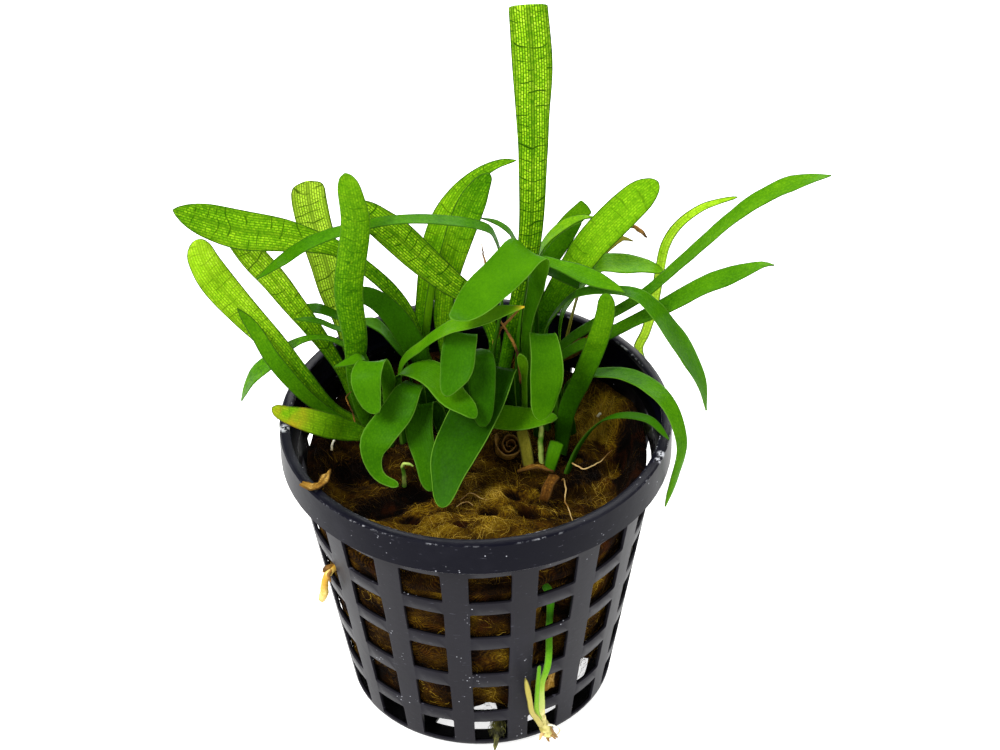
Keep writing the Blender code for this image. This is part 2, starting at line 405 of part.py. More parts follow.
def make_rockwool(material):
    outer = wall_radius(WOOL_TOP) - POT_THICKNESS - WOOL_MIDDLE_GAP
    profile = [(radius, WOOL_BOTTOM) for radius in WOOL_BOTTOM_RADII]
    profile += [(wall_radius(height), height) for height in WOOL_SIDE_HEIGHTS]
    profile += [(outer * share, WOOL_TOP) for share in WOOL_TOP_SHARES]
    bm = bmesh.new()
    spin_profile(bm, profile, WOOL_SEGMENTS)
    for vert in bm.verts:
        place = vert.co.copy()
        angle = angle_from_front(place)
        rough = noise.noise(place * WOOL_LUMPS_PER_METRE)
        if place.z > WOOL_TOP - SMALL:
            vert.co.z = wool_height(place.x, place.y)
        elif place.z > WOOL_BOTTOM + SMALL:
            radius = wool_radius(angle, place.z) - abs(rough) * WOOL_SIDE_ROUGHNESS
            vert.co.x = radius * math.sin(angle)
            vert.co.y = -radius * math.cos(angle)
        else:
            vert.co.z += rough * WOOL_BOTTOM_ROUGHNESS
    return add_object("rockwool", bm, material)


def smooth_route(route):
    # Points a short way apart on one smooth curve through the route, each with its width in the fourth place.
    lengths = [0]
    for first, second in zip(route, route[1:]):
        lengths.append(lengths[-1] + (second.xyz - first.xyz).length)
    last = len(route) - 1
    slopes = []
    for i in range(len(route)):
        before = max(i - 1, 0)
        after = min(i + 1, last)
        slopes.append((route[after] - route[before]) / (lengths[after] - lengths[before]))
    points = []
    for i in range(last):
        span = lengths[i + 1] - lengths[i]
        for step in range(CURVE_STEPS):
            t = step / CURVE_STEPS
            start = (2 * t ** 3 - 3 * t ** 2 + 1) * route[i] + (t ** 3 - 2 * t ** 2 + t) * span * slopes[i]
            end = (3 * t ** 2 - 2 * t ** 3) * route[i + 1] + (t ** 3 - t ** 2) * span * slopes[i + 1]
            points.append(start + end)
    points.append(route[last].copy())
    return points


def even_stations(points, step):
    # Reads the curve at equal steps: place and width, direction, and share of the whole length.
    lengths = [0]
    for first, second in zip(points, points[1:]):
        lengths.append(lengths[-1] + (second.xyz - first.xyz).length)
    total = lengths[-1]
    count = max(3, round(total / step) + 1)
    stations = []
    i = 0
    for number in range(count):
        wanted = total * number / (count - 1)
        while i < len(points) - 2 and lengths[i + 1] < wanted:
            i += 1
        share = (wanted - lengths[i]) / (lengths[i + 1] - lengths[i])
        place = points[i].lerp(points[i + 1], min(share, 1))
        direction = (points[i + 1].xyz - points[i].xyz).normalized()
        stations.append((place, direction, number / (count - 1)))
    return stations


def blend_across(across, share):
    # Width direction at a share of the length, between the given ones.
    if len(across) == 1:
        return Vector(across[0])
    spot = share * (len(across) - 1)
    i = min(int(spot), len(across) - 2)
    return Vector(across[i]).lerp(Vector(across[i + 1]), spot - i)


def make_leaf(name, material, across, route):
    points = []
    for x, y, height, width in route:
        z = wool_height(x * MM, y * MM) + STAND_GAP if height is None else height * MM
        points.append(Vector((x * MM, y * MM, z, width * MM)))
    stations = even_stations(smooth_route(points), LEAF_STEP)
    bm = bmesh.new()
    bmesh.ops.create_grid(bm, x_segments=2, y_segments=len(stations) - 1, size=1)
    rows = sorted(bm.verts, key=lambda vert: (round(vert.co.y, 4), vert.co.x))
    for number, (place, direction, share) in enumerate(stations):
        sideways = blend_across(across, share)
        sideways = (sideways - sideways.dot(direction) * direction).normalized()
        face_up = sideways.cross(direction)
        if face_up.z < 0:
            face_up.negate()
        left, middle, right = rows[number * 3:number * 3 + 3]
        left.co = place.xyz - sideways * place.w / 2
        middle.co = place.xyz - face_up * place.w * LEAF_CHANNEL
        right.co = place.xyz + sideways * place.w / 2
    leaf = add_object(name, bm, material)
    add_solidify(leaf, LEAF_THICKNESS, 0)
    return leaf


def make_shoot(material):
    data = bpy.data.curves.new("yellow_shoot", "CURVE")
    data.dimensions = "3D"
    data.bevel_depth = SHOOT_RADIUS
    data.bevel_resolution = 1
    data.use_fill_caps = True
    route = [Vector((x * MM, y * MM, z * MM, 1)) for x, y, z in SHOOT_ROUTE]
    stations = even_stations(smooth_route(route), SHOOT_STEP)
    spline = data.splines.new("POLY")
    spline.points.add(len(stations) - 1)
    for point, (place, direction, share) in zip(spline.points, stations):
        point.co = (*place.xyz, 1)
        point.radius = 1 - (1 - SHOOT_TIP_SCALE) * share
    data.materials.append(material)
    shoot = bpy.data.objects.new("yellow_shoot", data)
    bpy.context.collection.objects.link(shoot)
    return shoot


def make_lump(name, ends, half_width, material):
    # A small round-ended lump that reaches from one point to the other.
    first = Vector(ends[0]) * MM
    second = Vector(ends[1]) * MM
    along = second - first
    turn = along.to_track_quat("Z", "Y").to_matrix().to_4x4()
    size = Matrix.Diagonal((half_width, half_width, along.length / 2, 1))
    bm = bmesh.new()
    bmesh.ops.create_icosphere(bm, subdivisions=2, radius=1)
    bmesh.ops.transform(bm, matrix=Matrix.Translation((first + second) / 2) @ turn @ size, verts=bm.verts)
    return add_object(name, bm, material)


def main():
    for old in list(bpy.data.objects):
        bpy.data.objects.remove(old, do_unlink=True)
    materials = make_materials()
    make_pot(materials["pot_plastic"])
    make_rockwool(materials["rockwool"])
    for name, slot, across, route in LEAVES:
        make_leaf(name, materials[slot], across, route)
    make_shoot(materials["leaf_light"])
    make_lump("runner_root_crown", CROWN_ENDS, CROWN_HALF_WIDTH, materials["root_tan"])
    make_lump("root_tuft", TUFT_ENDS, TUFT_HALF_WIDTH, materials["leaf_old"])


main()
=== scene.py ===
import math
import random
from functools import partial

import bmesh
import bpy
from mathutils import Matrix, Vector, noise


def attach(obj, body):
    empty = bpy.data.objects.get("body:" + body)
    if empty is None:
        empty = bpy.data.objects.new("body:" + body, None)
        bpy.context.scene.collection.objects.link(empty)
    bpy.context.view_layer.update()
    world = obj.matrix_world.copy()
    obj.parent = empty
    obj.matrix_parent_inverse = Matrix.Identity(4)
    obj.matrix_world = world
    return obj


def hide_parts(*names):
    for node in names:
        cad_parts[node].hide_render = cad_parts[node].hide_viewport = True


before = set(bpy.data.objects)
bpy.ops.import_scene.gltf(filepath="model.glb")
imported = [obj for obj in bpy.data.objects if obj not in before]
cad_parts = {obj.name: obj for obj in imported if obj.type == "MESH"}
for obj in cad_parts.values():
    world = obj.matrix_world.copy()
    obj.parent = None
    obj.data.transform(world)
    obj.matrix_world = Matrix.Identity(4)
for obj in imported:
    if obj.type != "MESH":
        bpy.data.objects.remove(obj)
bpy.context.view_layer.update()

# Potted dwarf sagittaria: ribbon leaves in a rockwool plug, in a black net pot.
# Routes and the wool's own numbers are in millimetres, as in the part's source; the rest is in metres.

mm = 0.001
print("frame loaded:", len(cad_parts), "nodes")


# Small helpers

def linear(hexColour):
    # sRGB hex to the linear colour that shader sockets hold
    parts = [int(hexColour[i:i + 2], 16) / 255 for i in (1, 3, 5)]
    return tuple(p / 12.92 if p <= 0.04045 else ((p + 0.055) / 1.055) ** 2.4 for p in parts) + (1,)


def addNode(tree, kind, inputs=(), **properties):
    # a node with its settings; an input takes a value, a socket, or a node for its first live output
    node = tree.nodes.new("ShaderNode" + kind)
    for name, value in properties.items():
        setattr(node, name, value)
    for socket, value in inputs.items() if isinstance(inputs, dict) else enumerate(inputs):
        if isinstance(value, bpy.types.Node):
            value = next(output for output in value.outputs if output.enabled)
        if isinstance(value, bpy.types.NodeSocket):
            tree.links.new(value, node.inputs[socket])
        else:
            node.inputs[socket].default_value = value
    return node


def newMaterial(name):
    # an empty material, and addNode made ready for its tree
    material = bpy.data.materials.new(name)
    material.use_nodes = True
    material.node_tree.nodes.clear()
    return material, partial(addNode, material.node_tree)


def spreadTones(ramp, tones):
    # even steps through a list of hex colours
    stops = ramp.color_ramp.elements
    while len(stops) < len(tones):
        stops.new(0.5)
    for i, tone in enumerate(tones):
        stops[i].position = i / (len(tones) - 1)
        stops[i].color = linear(tone)


smoothStep = {"interpolation_type": "SMOOTHSTEP"}  # for the Map Range nodes: a soft step from low to high


def placePiece(name, mesh, material, slotName, *nodes):
    # links a finished mesh, which rides on the part and stands for the named solids
    piece = bpy.data.objects.new(name, mesh)
    bpy.context.collection.objects.link(piece)
    mesh.materials.clear()
    mesh.materials.append(material)
    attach(piece, "root")
    if nodes:
        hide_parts(*nodes)
    return piece


def closeMesh(bm, name, smooth=True):
    bmesh.ops.recalc_face_normals(bm, faces=bm.faces)
    mesh = bpy.data.meshes.new(name)
    bm.to_mesh(mesh)
    bm.free()
    if smooth:
        mesh.shade_smooth()
    return mesh


def clamp(value, low=0, high=1):
    return min(high, max(low, value))


def bump2(x, y, centreX, centreY, spread):
    # soft round hill of height 1 on the plan
    return math.exp(-0.5 * ((x - centreX) ** 2 + (y - centreY) ** 2) / spread ** 2)


# Camera: the photograph's own, found from the lip, the band and the foot of the pot

cameraLook = {
    "place": (0, -0.3294, 0.3148),
    "pitch": 38.44,  # degrees down
    "yaw": 0.48,
    "roll": -1.48,
    "lens": 109.44,
}


def makeCamera():
    pitch, yaw, roll = (math.radians(cameraLook[key]) for key in ("pitch", "yaw", "roll"))
    ahead = Vector((0, math.cos(pitch), -math.sin(pitch)))
    up = Vector((0, math.sin(pitch), math.cos(pitch)))
    right = Vector((1, 0, 0))
    ahead, right = (ahead * math.cos(yaw) + right * math.sin(yaw),
                    right * math.cos(yaw) - ahead * math.sin(yaw))
    right, up = (right * math.cos(roll) + up * math.sin(roll),
                 up * math.cos(roll) - right * math.sin(roll))
    data = bpy.data.cameras.new("camera")
    data.lens = cameraLook["lens"]
    data.sensor_width = 36
    data.clip_start = 0.01
    camera = bpy.data.objects.new("camera", data)
    bpy.context.collection.objects.link(camera)
    turn = Matrix((right, up, -ahead)).transposed().to_4x4()
    camera.matrix_world = Matrix.Translation(cameraLook["place"]) @ turn
    bpy.context.scene.camera = camera


makeCamera()


# Studio: a pale lit table, white surroundings, a large soft light above left and one behind

studioLook = {
    "floor": "#c6c6c4",
    "floorGlow": 0.75,  # the light table's own light
    "floorSize": 6,
    "surroundings": 1.0,
    "lights": [
        # name, place, aim, size, watts
        ("keyLight", (-0.75, -0.55, 1.15), (0, 0, 0.04), 0.6, 28),
        ("backLight", (0.25, 1.1, 0.75), (0, 0, 0.06), 0.9, 24),
        ("fillLight", (1.1, -0.35, 0.65), (0, 0, 0.04), 0.8, 6),
    ],
}


def makeStudio():
    world = bpy.data.worlds.new("studio")
    world.use_nodes = True
    world.node_tree.nodes["Background"].inputs["Color"].default_value = (1, 1, 1, 1)
    world.node_tree.nodes["Background"].inputs["Strength"].default_value = studioLook["surroundings"]
    bpy.context.scene.world = world
    bpy.context.scene.view_settings.view_transform = "Standard"

    paper, add = newMaterial("frostedLightTable")  # frosted acrylic, lit a little from below
    surface = add("BsdfPrincipled",
                  {"Base Color": linear(studioLook["floor"]), "Roughness": 0.9, "Specular IOR Level": 0.2,
                   "Emission Color": (1, 1, 1, 1), "Emission Strength": studioLook["floorGlow"]})
    add("OutputMaterial", (surface,))
    bm = bmesh.new()
    bmesh.ops.create_grid(bm, x_segments=1, y_segments=1, size=studioLook["floorSize"] / 2)
    floor = bpy.data.objects.new("floor", closeMesh(bm, "floor", smooth=False))
    floor.data.materials.append(paper)
    bpy.context.collection.objects.link(floor)

    for name, place, aim, size, watts in studioLook["lights"]:
        data = bpy.data.lights.new(name, "AREA")
        data.shape = "DISK"
        data.size = size
        data.energy = watts
        light = bpy.data.objects.new(name, data)
        light.location = place
        light.rotation_euler = (Vector(aim) - Vector(place)).to_track_quat("-Z", "Y").to_euler()
        bpy.context.collection.objects.link(light)


makeStudio()
print("camera and studio ready")


# Materials

leafKinds = {
    # living leaf, waxy skin over green flesh: thin ones glow lime where light comes through, by translucency
    # and by painted light in their paler tones, and show a dark net of veins; the thick ones in front are an
    # even deep green with a pale rim, a painted highlight
    "leafBladeGreen": {
        "tones": ["#102c02", "#1d4502", "#2e6004", "#467c06", "#66990c", "#90b919"],
        "vein": "#1c4a04", "rough": 0.34, "through": 0.18, "netDepth": 0.2, "netShare": 0.55,
        "rims": ["#1c3f06", "#7fb43c"], "slantVein": "#143603",
    },
    "leafBladeLime": {
        "tones": ["#143602", "#2c6204", "#528f09", "#80b813", "#aedb22", "#d2f04a"],
        "vein": "#225604", "rough": 0.36, "through": 0.4, "netDepth": 0.7, "netShare": 1.0,
        "rims": ["#1f4208", "#86bb42"], "slantVein": "#173f03",
    },
    "leafBladeFaded": {
        "tones": ["#1e1d04", "#45440a", "#6d6a17", "#8f8a2e", "#b3a757", "#d2c48a"],
        "vein": "#3d3a0c", "rough": 0.5, "through": 0.15, "netDepth": 0.35, "netShare": 0.5,
        "rims": ["#3d3a0c", "#c8bd70"], "slantVein": "#302d08",
    },
    # the young plant: pale sheathing base that turns green further up
    "leafBladeYoung": {
        "tones": ["#1f5a06", "#3f860f", "#6fae24", "#a3c648", "#c8d27c", "#dcd9a8"],
        "vein": "#7f9a3c", "rough": 0.38, "through": 0.3, "netDepth": 0.2, "netShare": 0.3,
        "rims": ["#4b7a18", "#c9dc8a"], "slantVein": "#6d8a34",
    },
    # dead leaf: brown, brittle and crumpled
    "leafBladeDried": {
        "tones": ["#1c0d03", "#3d2409", "#6b4717", "#94702c", "#bb9a55", "#d8c594"],
        "vein": "#3a2410", "rough": 0.65, "through": 0.12, "netDepth": 1.0, "netShare": 0.7,
        "rims": ["#2a1606", "#a8824a"], "slantVein": "#2c180a",
    },
}
veinLook = {
    "rowsPerMm": 2.9,  # long veins across a blade, coarser than real so that they show
    "cellsPerMm": 1.7,  # cross veins along it
    "slant": 1.9,  # mm between the heavier slanting veins
    "line": 0.17,  # share of a cell that is vein
    "speckle": 3200.0,  # per metre: leaf cells of about 0.3 mm
    "slantClimb": -1.1, "slantWander": 4.6, "slantShare": 0.45,  # how the slanting veins rise, waver and show
    "slantBreaks": (0.44, 0.53),  # and where the noise breaks them off
    "veinShare": 0.92, "rim": (0.07, 0.16),  # mm from the edge over which the rim's line fades
    "mottle": 0.34, "cellTone": 0.26,  # soft patches, and each cell's own brightness
    "worn": "#d9a72c", "ior": 1.42, "specular": 0.015, "bump": 0.4, "bumpHeight": 0.00014,
}


def leafMaterial(name):
    look = leafKinds[name]
    material, add = newMaterial(name)
    # the blade's own map: across from 0 to 1, and along in tenths of a metre
    spot = add("UVMap", uv_map="blade")
    axes = add("SeparateXYZ", (spot,))
    along = add("Math", (axes.outputs[1], 100.0), operation="MULTIPLY")  # mm
    fromMiddle = add("Math", (add("Math", (axes.outputs[0], 0.5), operation="SUBTRACT"),),
                     operation="ABSOLUTE")
    marks = add("Attribute", attribute_name="tone", attribute_type="GEOMETRY")
    parts = add("SeparateColor", (marks.outputs["Color"],))
    tone, net, worn, rimHighlightShare = parts.outputs[0], parts.outputs[1], parts.outputs[2], marks.outputs["Alpha"]
    place = add("TexCoord").outputs["Object"]
    wide = add("Attribute", attribute_name="width", attribute_type="GEOMETRY").outputs["Fac"]  # mm
    fromRim = add("Math", (0.5, fromMiddle), operation="SUBTRACT")
    fromRim = add("Math", (fromRim, wide), operation="MULTIPLY")  # mm
    netShown = add("Math", (net, look["netShare"]), operation="MULTIPLY")

    # long veins with fine cross veins between them, a little uneven
    wander = add("TexNoise", {"Scale": 190.0, "Detail": 1.0, "Vector": place})
    alongCells = add("Math", (along, veinLook["cellsPerMm"]), operation="MULTIPLY")
    alongBent = add("Math", (wander, 1.6, alongCells), operation="MULTIPLY_ADD")
    side = add("Math", (axes.outputs[0], 0.5), operation="SUBTRACT")
    sideMm = add("Math", (side, wide), operation="MULTIPLY")
    acrossRows = add("Math", (sideMm, veinLook["rowsPerMm"], 60.5), operation="MULTIPLY_ADD")
    shift = add("Math", (wander, 0.5), operation="SUBTRACT")
    acrossBent = add("Math", (shift, 0.5, acrossRows), operation="MULTIPLY_ADD")
    cells = add("CombineXYZ", (alongBent, acrossBent))
    bricks = add("TexBrick", {
        "Color1": (0, 0, 0, 1), "Color2": (1, 1, 1, 1), "Mortar": (0.5, 0.5, 0.5, 1), "Scale": 1.0,
        "Mortar Size": veinLook["line"], "Mortar Smooth": 0.4, "Bias": 0.0,
        "Brick Width": 1.0, "Row Height": 1.0, "Vector": cells,
    }, offset=0.5, offset_frequency=2, squash=1.4, squash_frequency=3)
    longShape = add("Math", (acrossBent, 0.5), operation="PINGPONG")
    longLines = add("MapRange", (longShape, 0.08, 0.26, 1.0, 0.0), **smoothStep)
    # heavier cross veins climb from the midrib outwards, broken off here and there
    breaks = add("TexNoise", {"Scale": 520.0, "Detail": 1.0, "Vector": place})
    slope = add("Math", (fromMiddle, veinLook["slantClimb"], along), operation="MULTIPLY_ADD")
    slope = add("Math", (wander, veinLook["slantWander"], slope), operation="MULTIPLY_ADD")
    slantShape = add("Math", (slope, veinLook["slant"] / 2), operation="PINGPONG")
    slantLines = add("MapRange", (slantShape, 0.04, 0.16, 1.0, 0.0), **smoothStep)
    unbroken = add("MapRange", (breaks, *veinLook["slantBreaks"]), **smoothStep)
    slant = add("Math", (slantLines, unbroken), operation="MULTIPLY")
    fine = add("Math", (bricks.outputs["Fac"], 0.7), operation="MULTIPLY")
    heavy = add("Math", (longLines, slant), operation="MAXIMUM")
    veins = add("Math", (fine, heavy), operation="MAXIMUM")
    midrib = add("MapRange", (fromMiddle, 0.05, 0.09, 0.6, 0.0), **smoothStep)
    margin = add("MapRange", (fromMiddle, 0.3, 0.42, 0.0, 0.55), **smoothStep)
    plain = add("Math", (midrib, margin), operation="MAXIMUM")
    allLines = add("Math", (veins, plain), operation="MAXIMUM")
    veinShare = add("Math", (allLines, netShown), operation="MULTIPLY")

    # colour along the blade, mottled in soft patches and by the cells
    speckle = add("TexVoronoi", {"Scale": veinLook["speckle"], "Randomness": 1.0, "Vector": place},
                  feature="F1")
    patches = add("TexNoise", {"Scale": 150.0, "Detail": 3.0, "Vector": place})
    patchTone = add("Math", (patches, 0.5), operation="SUBTRACT")
    mottle = add("Math", (patchTone, veinLook["mottle"], tone), operation="MULTIPLY_ADD")
    grain = add("Math", (speckle.outputs["Distance"], 0.4), operation="SUBTRACT")
    grainShare = add("Math", (net, 0.28, 0.05), operation="MULTIPLY_ADD")
    grain = add("Math", (grain, grainShare), operation="MULTIPLY")
    # each cell of the net has its own brightness
    ownTone = add("Math", (bricks.outputs["Color"], 0.5), operation="SUBTRACT")
    ownShare = add("Math", (net, veinLook["cellTone"]), operation="MULTIPLY")
    ownTone = add("Math", (ownTone, ownShare), operation="MULTIPLY")
    toneSpot = add("Math", (mottle, grain), operation="SUBTRACT")
    toneSpot = add("Math", (toneSpot, ownTone), operation="ADD")
    body = add("ValToRGB", (toneSpot,))
    spreadTones(body, look["tones"])
    veinShare = add("Math", (veinShare, veinLook["veinShare"]), operation="MULTIPLY")
    veinColour = add("Mix", {0: veinShare, 6: body, 7: linear(look["vein"])}, data_type="RGBA")
    slantShare = add("Math", (slant, veinLook["slantShare"]), operation="MULTIPLY")
    slantShare = add("Math", (slantShare, netShown), operation="MULTIPLY")
    veinColour = add("Mix", {0: slantShare, 6: veinColour, 7: linear(look["slantVein"])}, data_type="RGBA")
    # the rim: a fine dark line on thin leaves, and on the thick ones a pale broken line that is a painted
    # highlight
    rimBreaks = add("MapRange", (patches, 0.34, 0.48, 0.45, 0.9), **smoothStep)
    rimShare = add("MapRange", (fromRim, *veinLook["rim"], 1.0, 0.0), **smoothStep)
    rimShare = add("Math", (rimShare, rimBreaks), operation="MULTIPLY")
    paler = add("Math", (rimHighlightShare, -0.5, 1.0), operation="MULTIPLY_ADD")
    rimShare = add("Math", (rimShare, paler), operation="MULTIPLY")
    darkRim, highlightRimColour = (linear(tone) for tone in look["rims"])
    rimColour = add("Mix", {0: rimHighlightShare, 6: darkRim, 7: highlightRimColour}, data_type="RGBA")
    body = add("Mix", {0: rimShare, 6: veinColour, 7: rimColour}, data_type="RGBA")
    # yellow to rust where the third channel asks for it
    wornPatches = add("MapRange", (patches, 0.38, 0.56), **smoothStep)
    wornShare = add("Math", (worn, wornPatches), operation="MULTIPLY")
    body = add("Mix", {0: wornShare, 6: body, 7: linear(veinLook["worn"])}, data_type="RGBA")

    # veins stand a little proud, and the skin is blistered
    blister = add("TexNoise", {"Scale": 1300.0, "Detail": 2.0, "Vector": place})
    height = add("Math", (veins, look["netDepth"], blister), operation="MULTIPLY_ADD")
    bump = add("Bump", {"Strength": veinLook["bump"], "Distance": veinLook["bumpHeight"], "Height": height})
    rough = add("Math", (patches, 0.2, look["rough"] - 0.1), operation="MULTIPLY_ADD")
    skin = add("BsdfPrincipled", {
        "IOR": veinLook["ior"], "Specular IOR Level": veinLook["specular"],
        "Base Color": body, "Roughness": rough, "Normal": bump,
    })
    glow = add("BsdfTranslucent", {"Color": body, "Normal": bump})
    both = add("MixShader", (look["through"], skin, glow))
    add("OutputMaterial", (both,))
    return material


potSkin = {
    # the collar colour is painted shade, darker than the wall's; the inside colour is painted shade too
    "collar": "#05050f", "wall": "#1b1a1f", "paintedInsideShade": "#020203", "rub": "#53535e", "dust": "#b9bbc4",
    # the scraped colour is partly wear, partly painted highlight
    "cloud": "#26262e", "scrapeAndHighlight": "#c2c4ca", "ior": 1.49, "specular": 0.06,
    # metres: the collar's foot, the wall's radius at the floor and its growth, the lip's top
    "collarFrom": 0.0409, "wallFoot": 0.019, "wallGrow": 0.1602, "lipFrom": 0.0455,
    # pale edges, partly rubbed and partly painted highlight: radius or height in metres, and how near it they
    # are full and gone
    "outerRim": (0.02742, 0.00004, 0.00016), "innerRim": (0.02605, 0.00004, 0.00018),
    "lowEdge": (0.04112, 0.00005, 0.0002),
    # place and reach in metres of the pale spots on the lip, partly rubbed and partly painted highlight
    "spots": [((0.0254, -0.0094, 0.0463), 0.0008), ((0.0249, -0.0107, 0.0463), 0.0007),
              ((-0.0268, -0.0018, 0.0463), 0.0011)],
}


def potMaterial():
    # moulded polypropylene, black with a blue cast: collar painted darker than the wall as painted shade,
    # inside painted near black as painted shade, dusty, and pale edges partly rubbed and partly painted
    # highlight
    material, add = newMaterial("mouldedPolypropylene")
    look = potSkin
    place = add("TexCoord").outputs["Object"]
    axes = add("SeparateXYZ", (place,))
    flat = add("CombineXYZ", (axes.outputs[0], axes.outputs[1]))
    radius = add("VectorMath", (flat,), operation="LENGTH").outputs["Value"]
    height = axes.outputs[2]
    clouds = add("TexNoise", {"Scale": 70.0, "Detail": 4.0, "Roughness": 0.6, "Vector": place})

    collarShadeMask = add("MapRange", (height, look["collarFrom"] - 0.0002, look["collarFrom"] + 0.0004),
                   **smoothStep)
    # painted shade: the collar is painted darker than the wall
    base = add("Mix", {0: collarShadeMask, 6: linear(look["wall"]), 7: linear(look["collar"])}, data_type="RGBA")
    cloudShare = add("MapRange", (clouds, 0.45, 0.75, 0.0, 0.35), **smoothStep)
    base = add("Mix", {0: cloudShare, 6: base, 7: linear(look["cloud"])}, data_type="RGBA")
    # painted shade: the inside of the wall and collar is painted near black, out of the light
    line = add("Math", (height, look["wallGrow"], look["wallFoot"]), operation="MULTIPLY_ADD")
    depth = add("Math", (line, radius), operation="SUBTRACT")
    paintedInsideShade = add("MapRange", (depth, 0.00022, 0.00042), **smoothStep)
    inCollar = add("MapRange", (radius, 0.02603, 0.02612, 1.0, 0.0), **smoothStep)
    inCollar = add("Math", (inCollar, collarShadeMask), operation="MULTIPLY")
    paintedInsideShade = add("Math", (paintedInsideShade, inCollar), operation="MAXIMUM")
    lipTop = add("MapRange", (height, look["lipFrom"], look["lipFrom"] + 0.0005), **smoothStep)
    belowLip = add("Math", (1.0, lipTop), operation="SUBTRACT")
    paintedInsideShade = add("Math", (paintedInsideShade, belowLip), operation="MULTIPLY")
    base = add("Mix", {0: paintedInsideShade, 6: base, 7: linear(look["paintedInsideShade"])}, data_type="RGBA")

    # thin rubbed streaks round the wall, and specks of dust
    streakSpace = add("Mapping", {"Scale": (1.0, 1.0, 6.0), "Rotation": (0.25, 0.1, 0.0), "Vector": place})
    streaks = add("TexNoise", {"Scale": 800.0, "Detail": 2.0, "Vector": streakSpace})
    streakShare = add("MapRange", (streaks, 0.69, 0.76, 0.0, 0.45), **smoothStep)
    base = add("Mix", {0: streakShare, 6: base, 7: linear(look["rub"])}, data_type="RGBA")
    specks = add("TexVoronoi", {"Scale": 1500.0, "Randomness": 1.0, "Vector": place}, feature="F1")
    speckPick = add("TexNoise", {"Scale": 300.0, "Detail": 1.0, "Vector": place})
    speckShare = add("MapRange", (specks.outputs["Distance"], 0.08, 0.19, 1.0, 0.0), **smoothStep)
    speckPick = add("MapRange", (speckPick, 0.64, 0.71, 0.0, 0.75), **smoothStep)
    speckShare = add("Math", (speckShare, speckPick), operation="MULTIPLY")
    base = add("Mix", {0: speckShare, 6: base, 7: linear(look["dust"])}, data_type="RGBA")

    # pale edges, partly rubbed and partly painted highlight: the rim of the lip, the collar's lower edge, and
    # three spots, partly scraped and partly painted highlight
    chips = add("TexNoise", {"Scale": 1500.0, "Detail": 3.0, "Roughness": 0.7, "Vector": place})
    runs = add("TexNoise", {"Scale": 120.0, "Detail": 2.0, "Vector": place})
    edges = {}
    for key, reading in (("outerRim", radius), ("innerRim", radius), ("lowEdge", height)):
        at, full, gone = look[key]
        away = add("Math", (reading, at), operation="SUBTRACT")
        away = add("Math", (away,), operation="ABSOLUTE")
        edges[key] = add("MapRange", (away, full, gone, 1.0, 0.0), **smoothStep)
    rims = add("Math", (edges["outerRim"], edges["innerRim"]), operation="MAXIMUM")
    onTop = add("MapRange", (height, look["lipFrom"] + 0.0004, look["lipFrom"] + 0.00065), **smoothStep)
    rims = add("Math", (rims, onTop), operation="MULTIPLY")
    rims = add("Math", (rims, edges["lowEdge"]), operation="MAXIMUM")
    chipped = add("MapRange", (chips, 0.48, 0.6), **smoothStep)
    inRuns = add("MapRange", (runs, 0.47, 0.6, 0.0, 0.7), **smoothStep)
    picked = add("Math", (chipped, inRuns), operation="MULTIPLY")
    wornAndHighlitMarks = add("Math", (rims, picked), operation="MULTIPLY")
    scrapeAndHighlight = add("MapRange", (chips, 0.46, 0.54), **smoothStep)
    for centre, reach in look["spots"]:
        apart = add("VectorMath", (place, centre), operation="DISTANCE").outputs["Value"]
        near = add("MapRange", (apart, reach * 0.4, reach, 1.0, 0.0), **smoothStep)
        spot = add("Math", (near, scrapeAndHighlight), operation="MULTIPLY")
        wornAndHighlitMarks = add("Math", (wornAndHighlitMarks, spot), operation="MAXIMUM")
    wearAndHighlightShare = add("Math", (wornAndHighlitMarks, 0.7), operation="MULTIPLY")
    base = add("Mix", {0: wearAndHighlightShare, 6: base, 7: linear(look["scrapeAndHighlight"])}, data_type="RGBA")

    rough = add("Math", (clouds, 0.2, 0.26), operation="MULTIPLY_ADD")
    dull = add("Math", (speckShare, wornAndHighlitMarks), operation="MAXIMUM")
    rough = add("Math", (dull, 0.3, rough), operation="MULTIPLY_ADD")
    grain = add("TexNoise", {"Scale": 900.0, "Detail": 2.0, "Vector": place})
    relief = add("Math", (wornAndHighlitMarks, 0.8, grain), operation="MULTIPLY_ADD")
    bump = add("Bump", {"Strength": 0.25, "Distance": 0.00006, "Height": relief})
    skin = add("BsdfPrincipled", {
        "IOR": look["ior"], "Specular IOR Level": look["specular"],
        "Base Color": base, "Roughness": rough, "Normal": bump,
    })
    add("OutputMaterial", (skin,))
    return material


woolSkin = {
    "tones": ["#040201", "#110702", "#291802", "#493205", "#6e540b", "#9a7c1b"],
    "fibreTip": "#bb9a3c", "rust": "#4a2207", "bumpHeight": 0.0005,
}


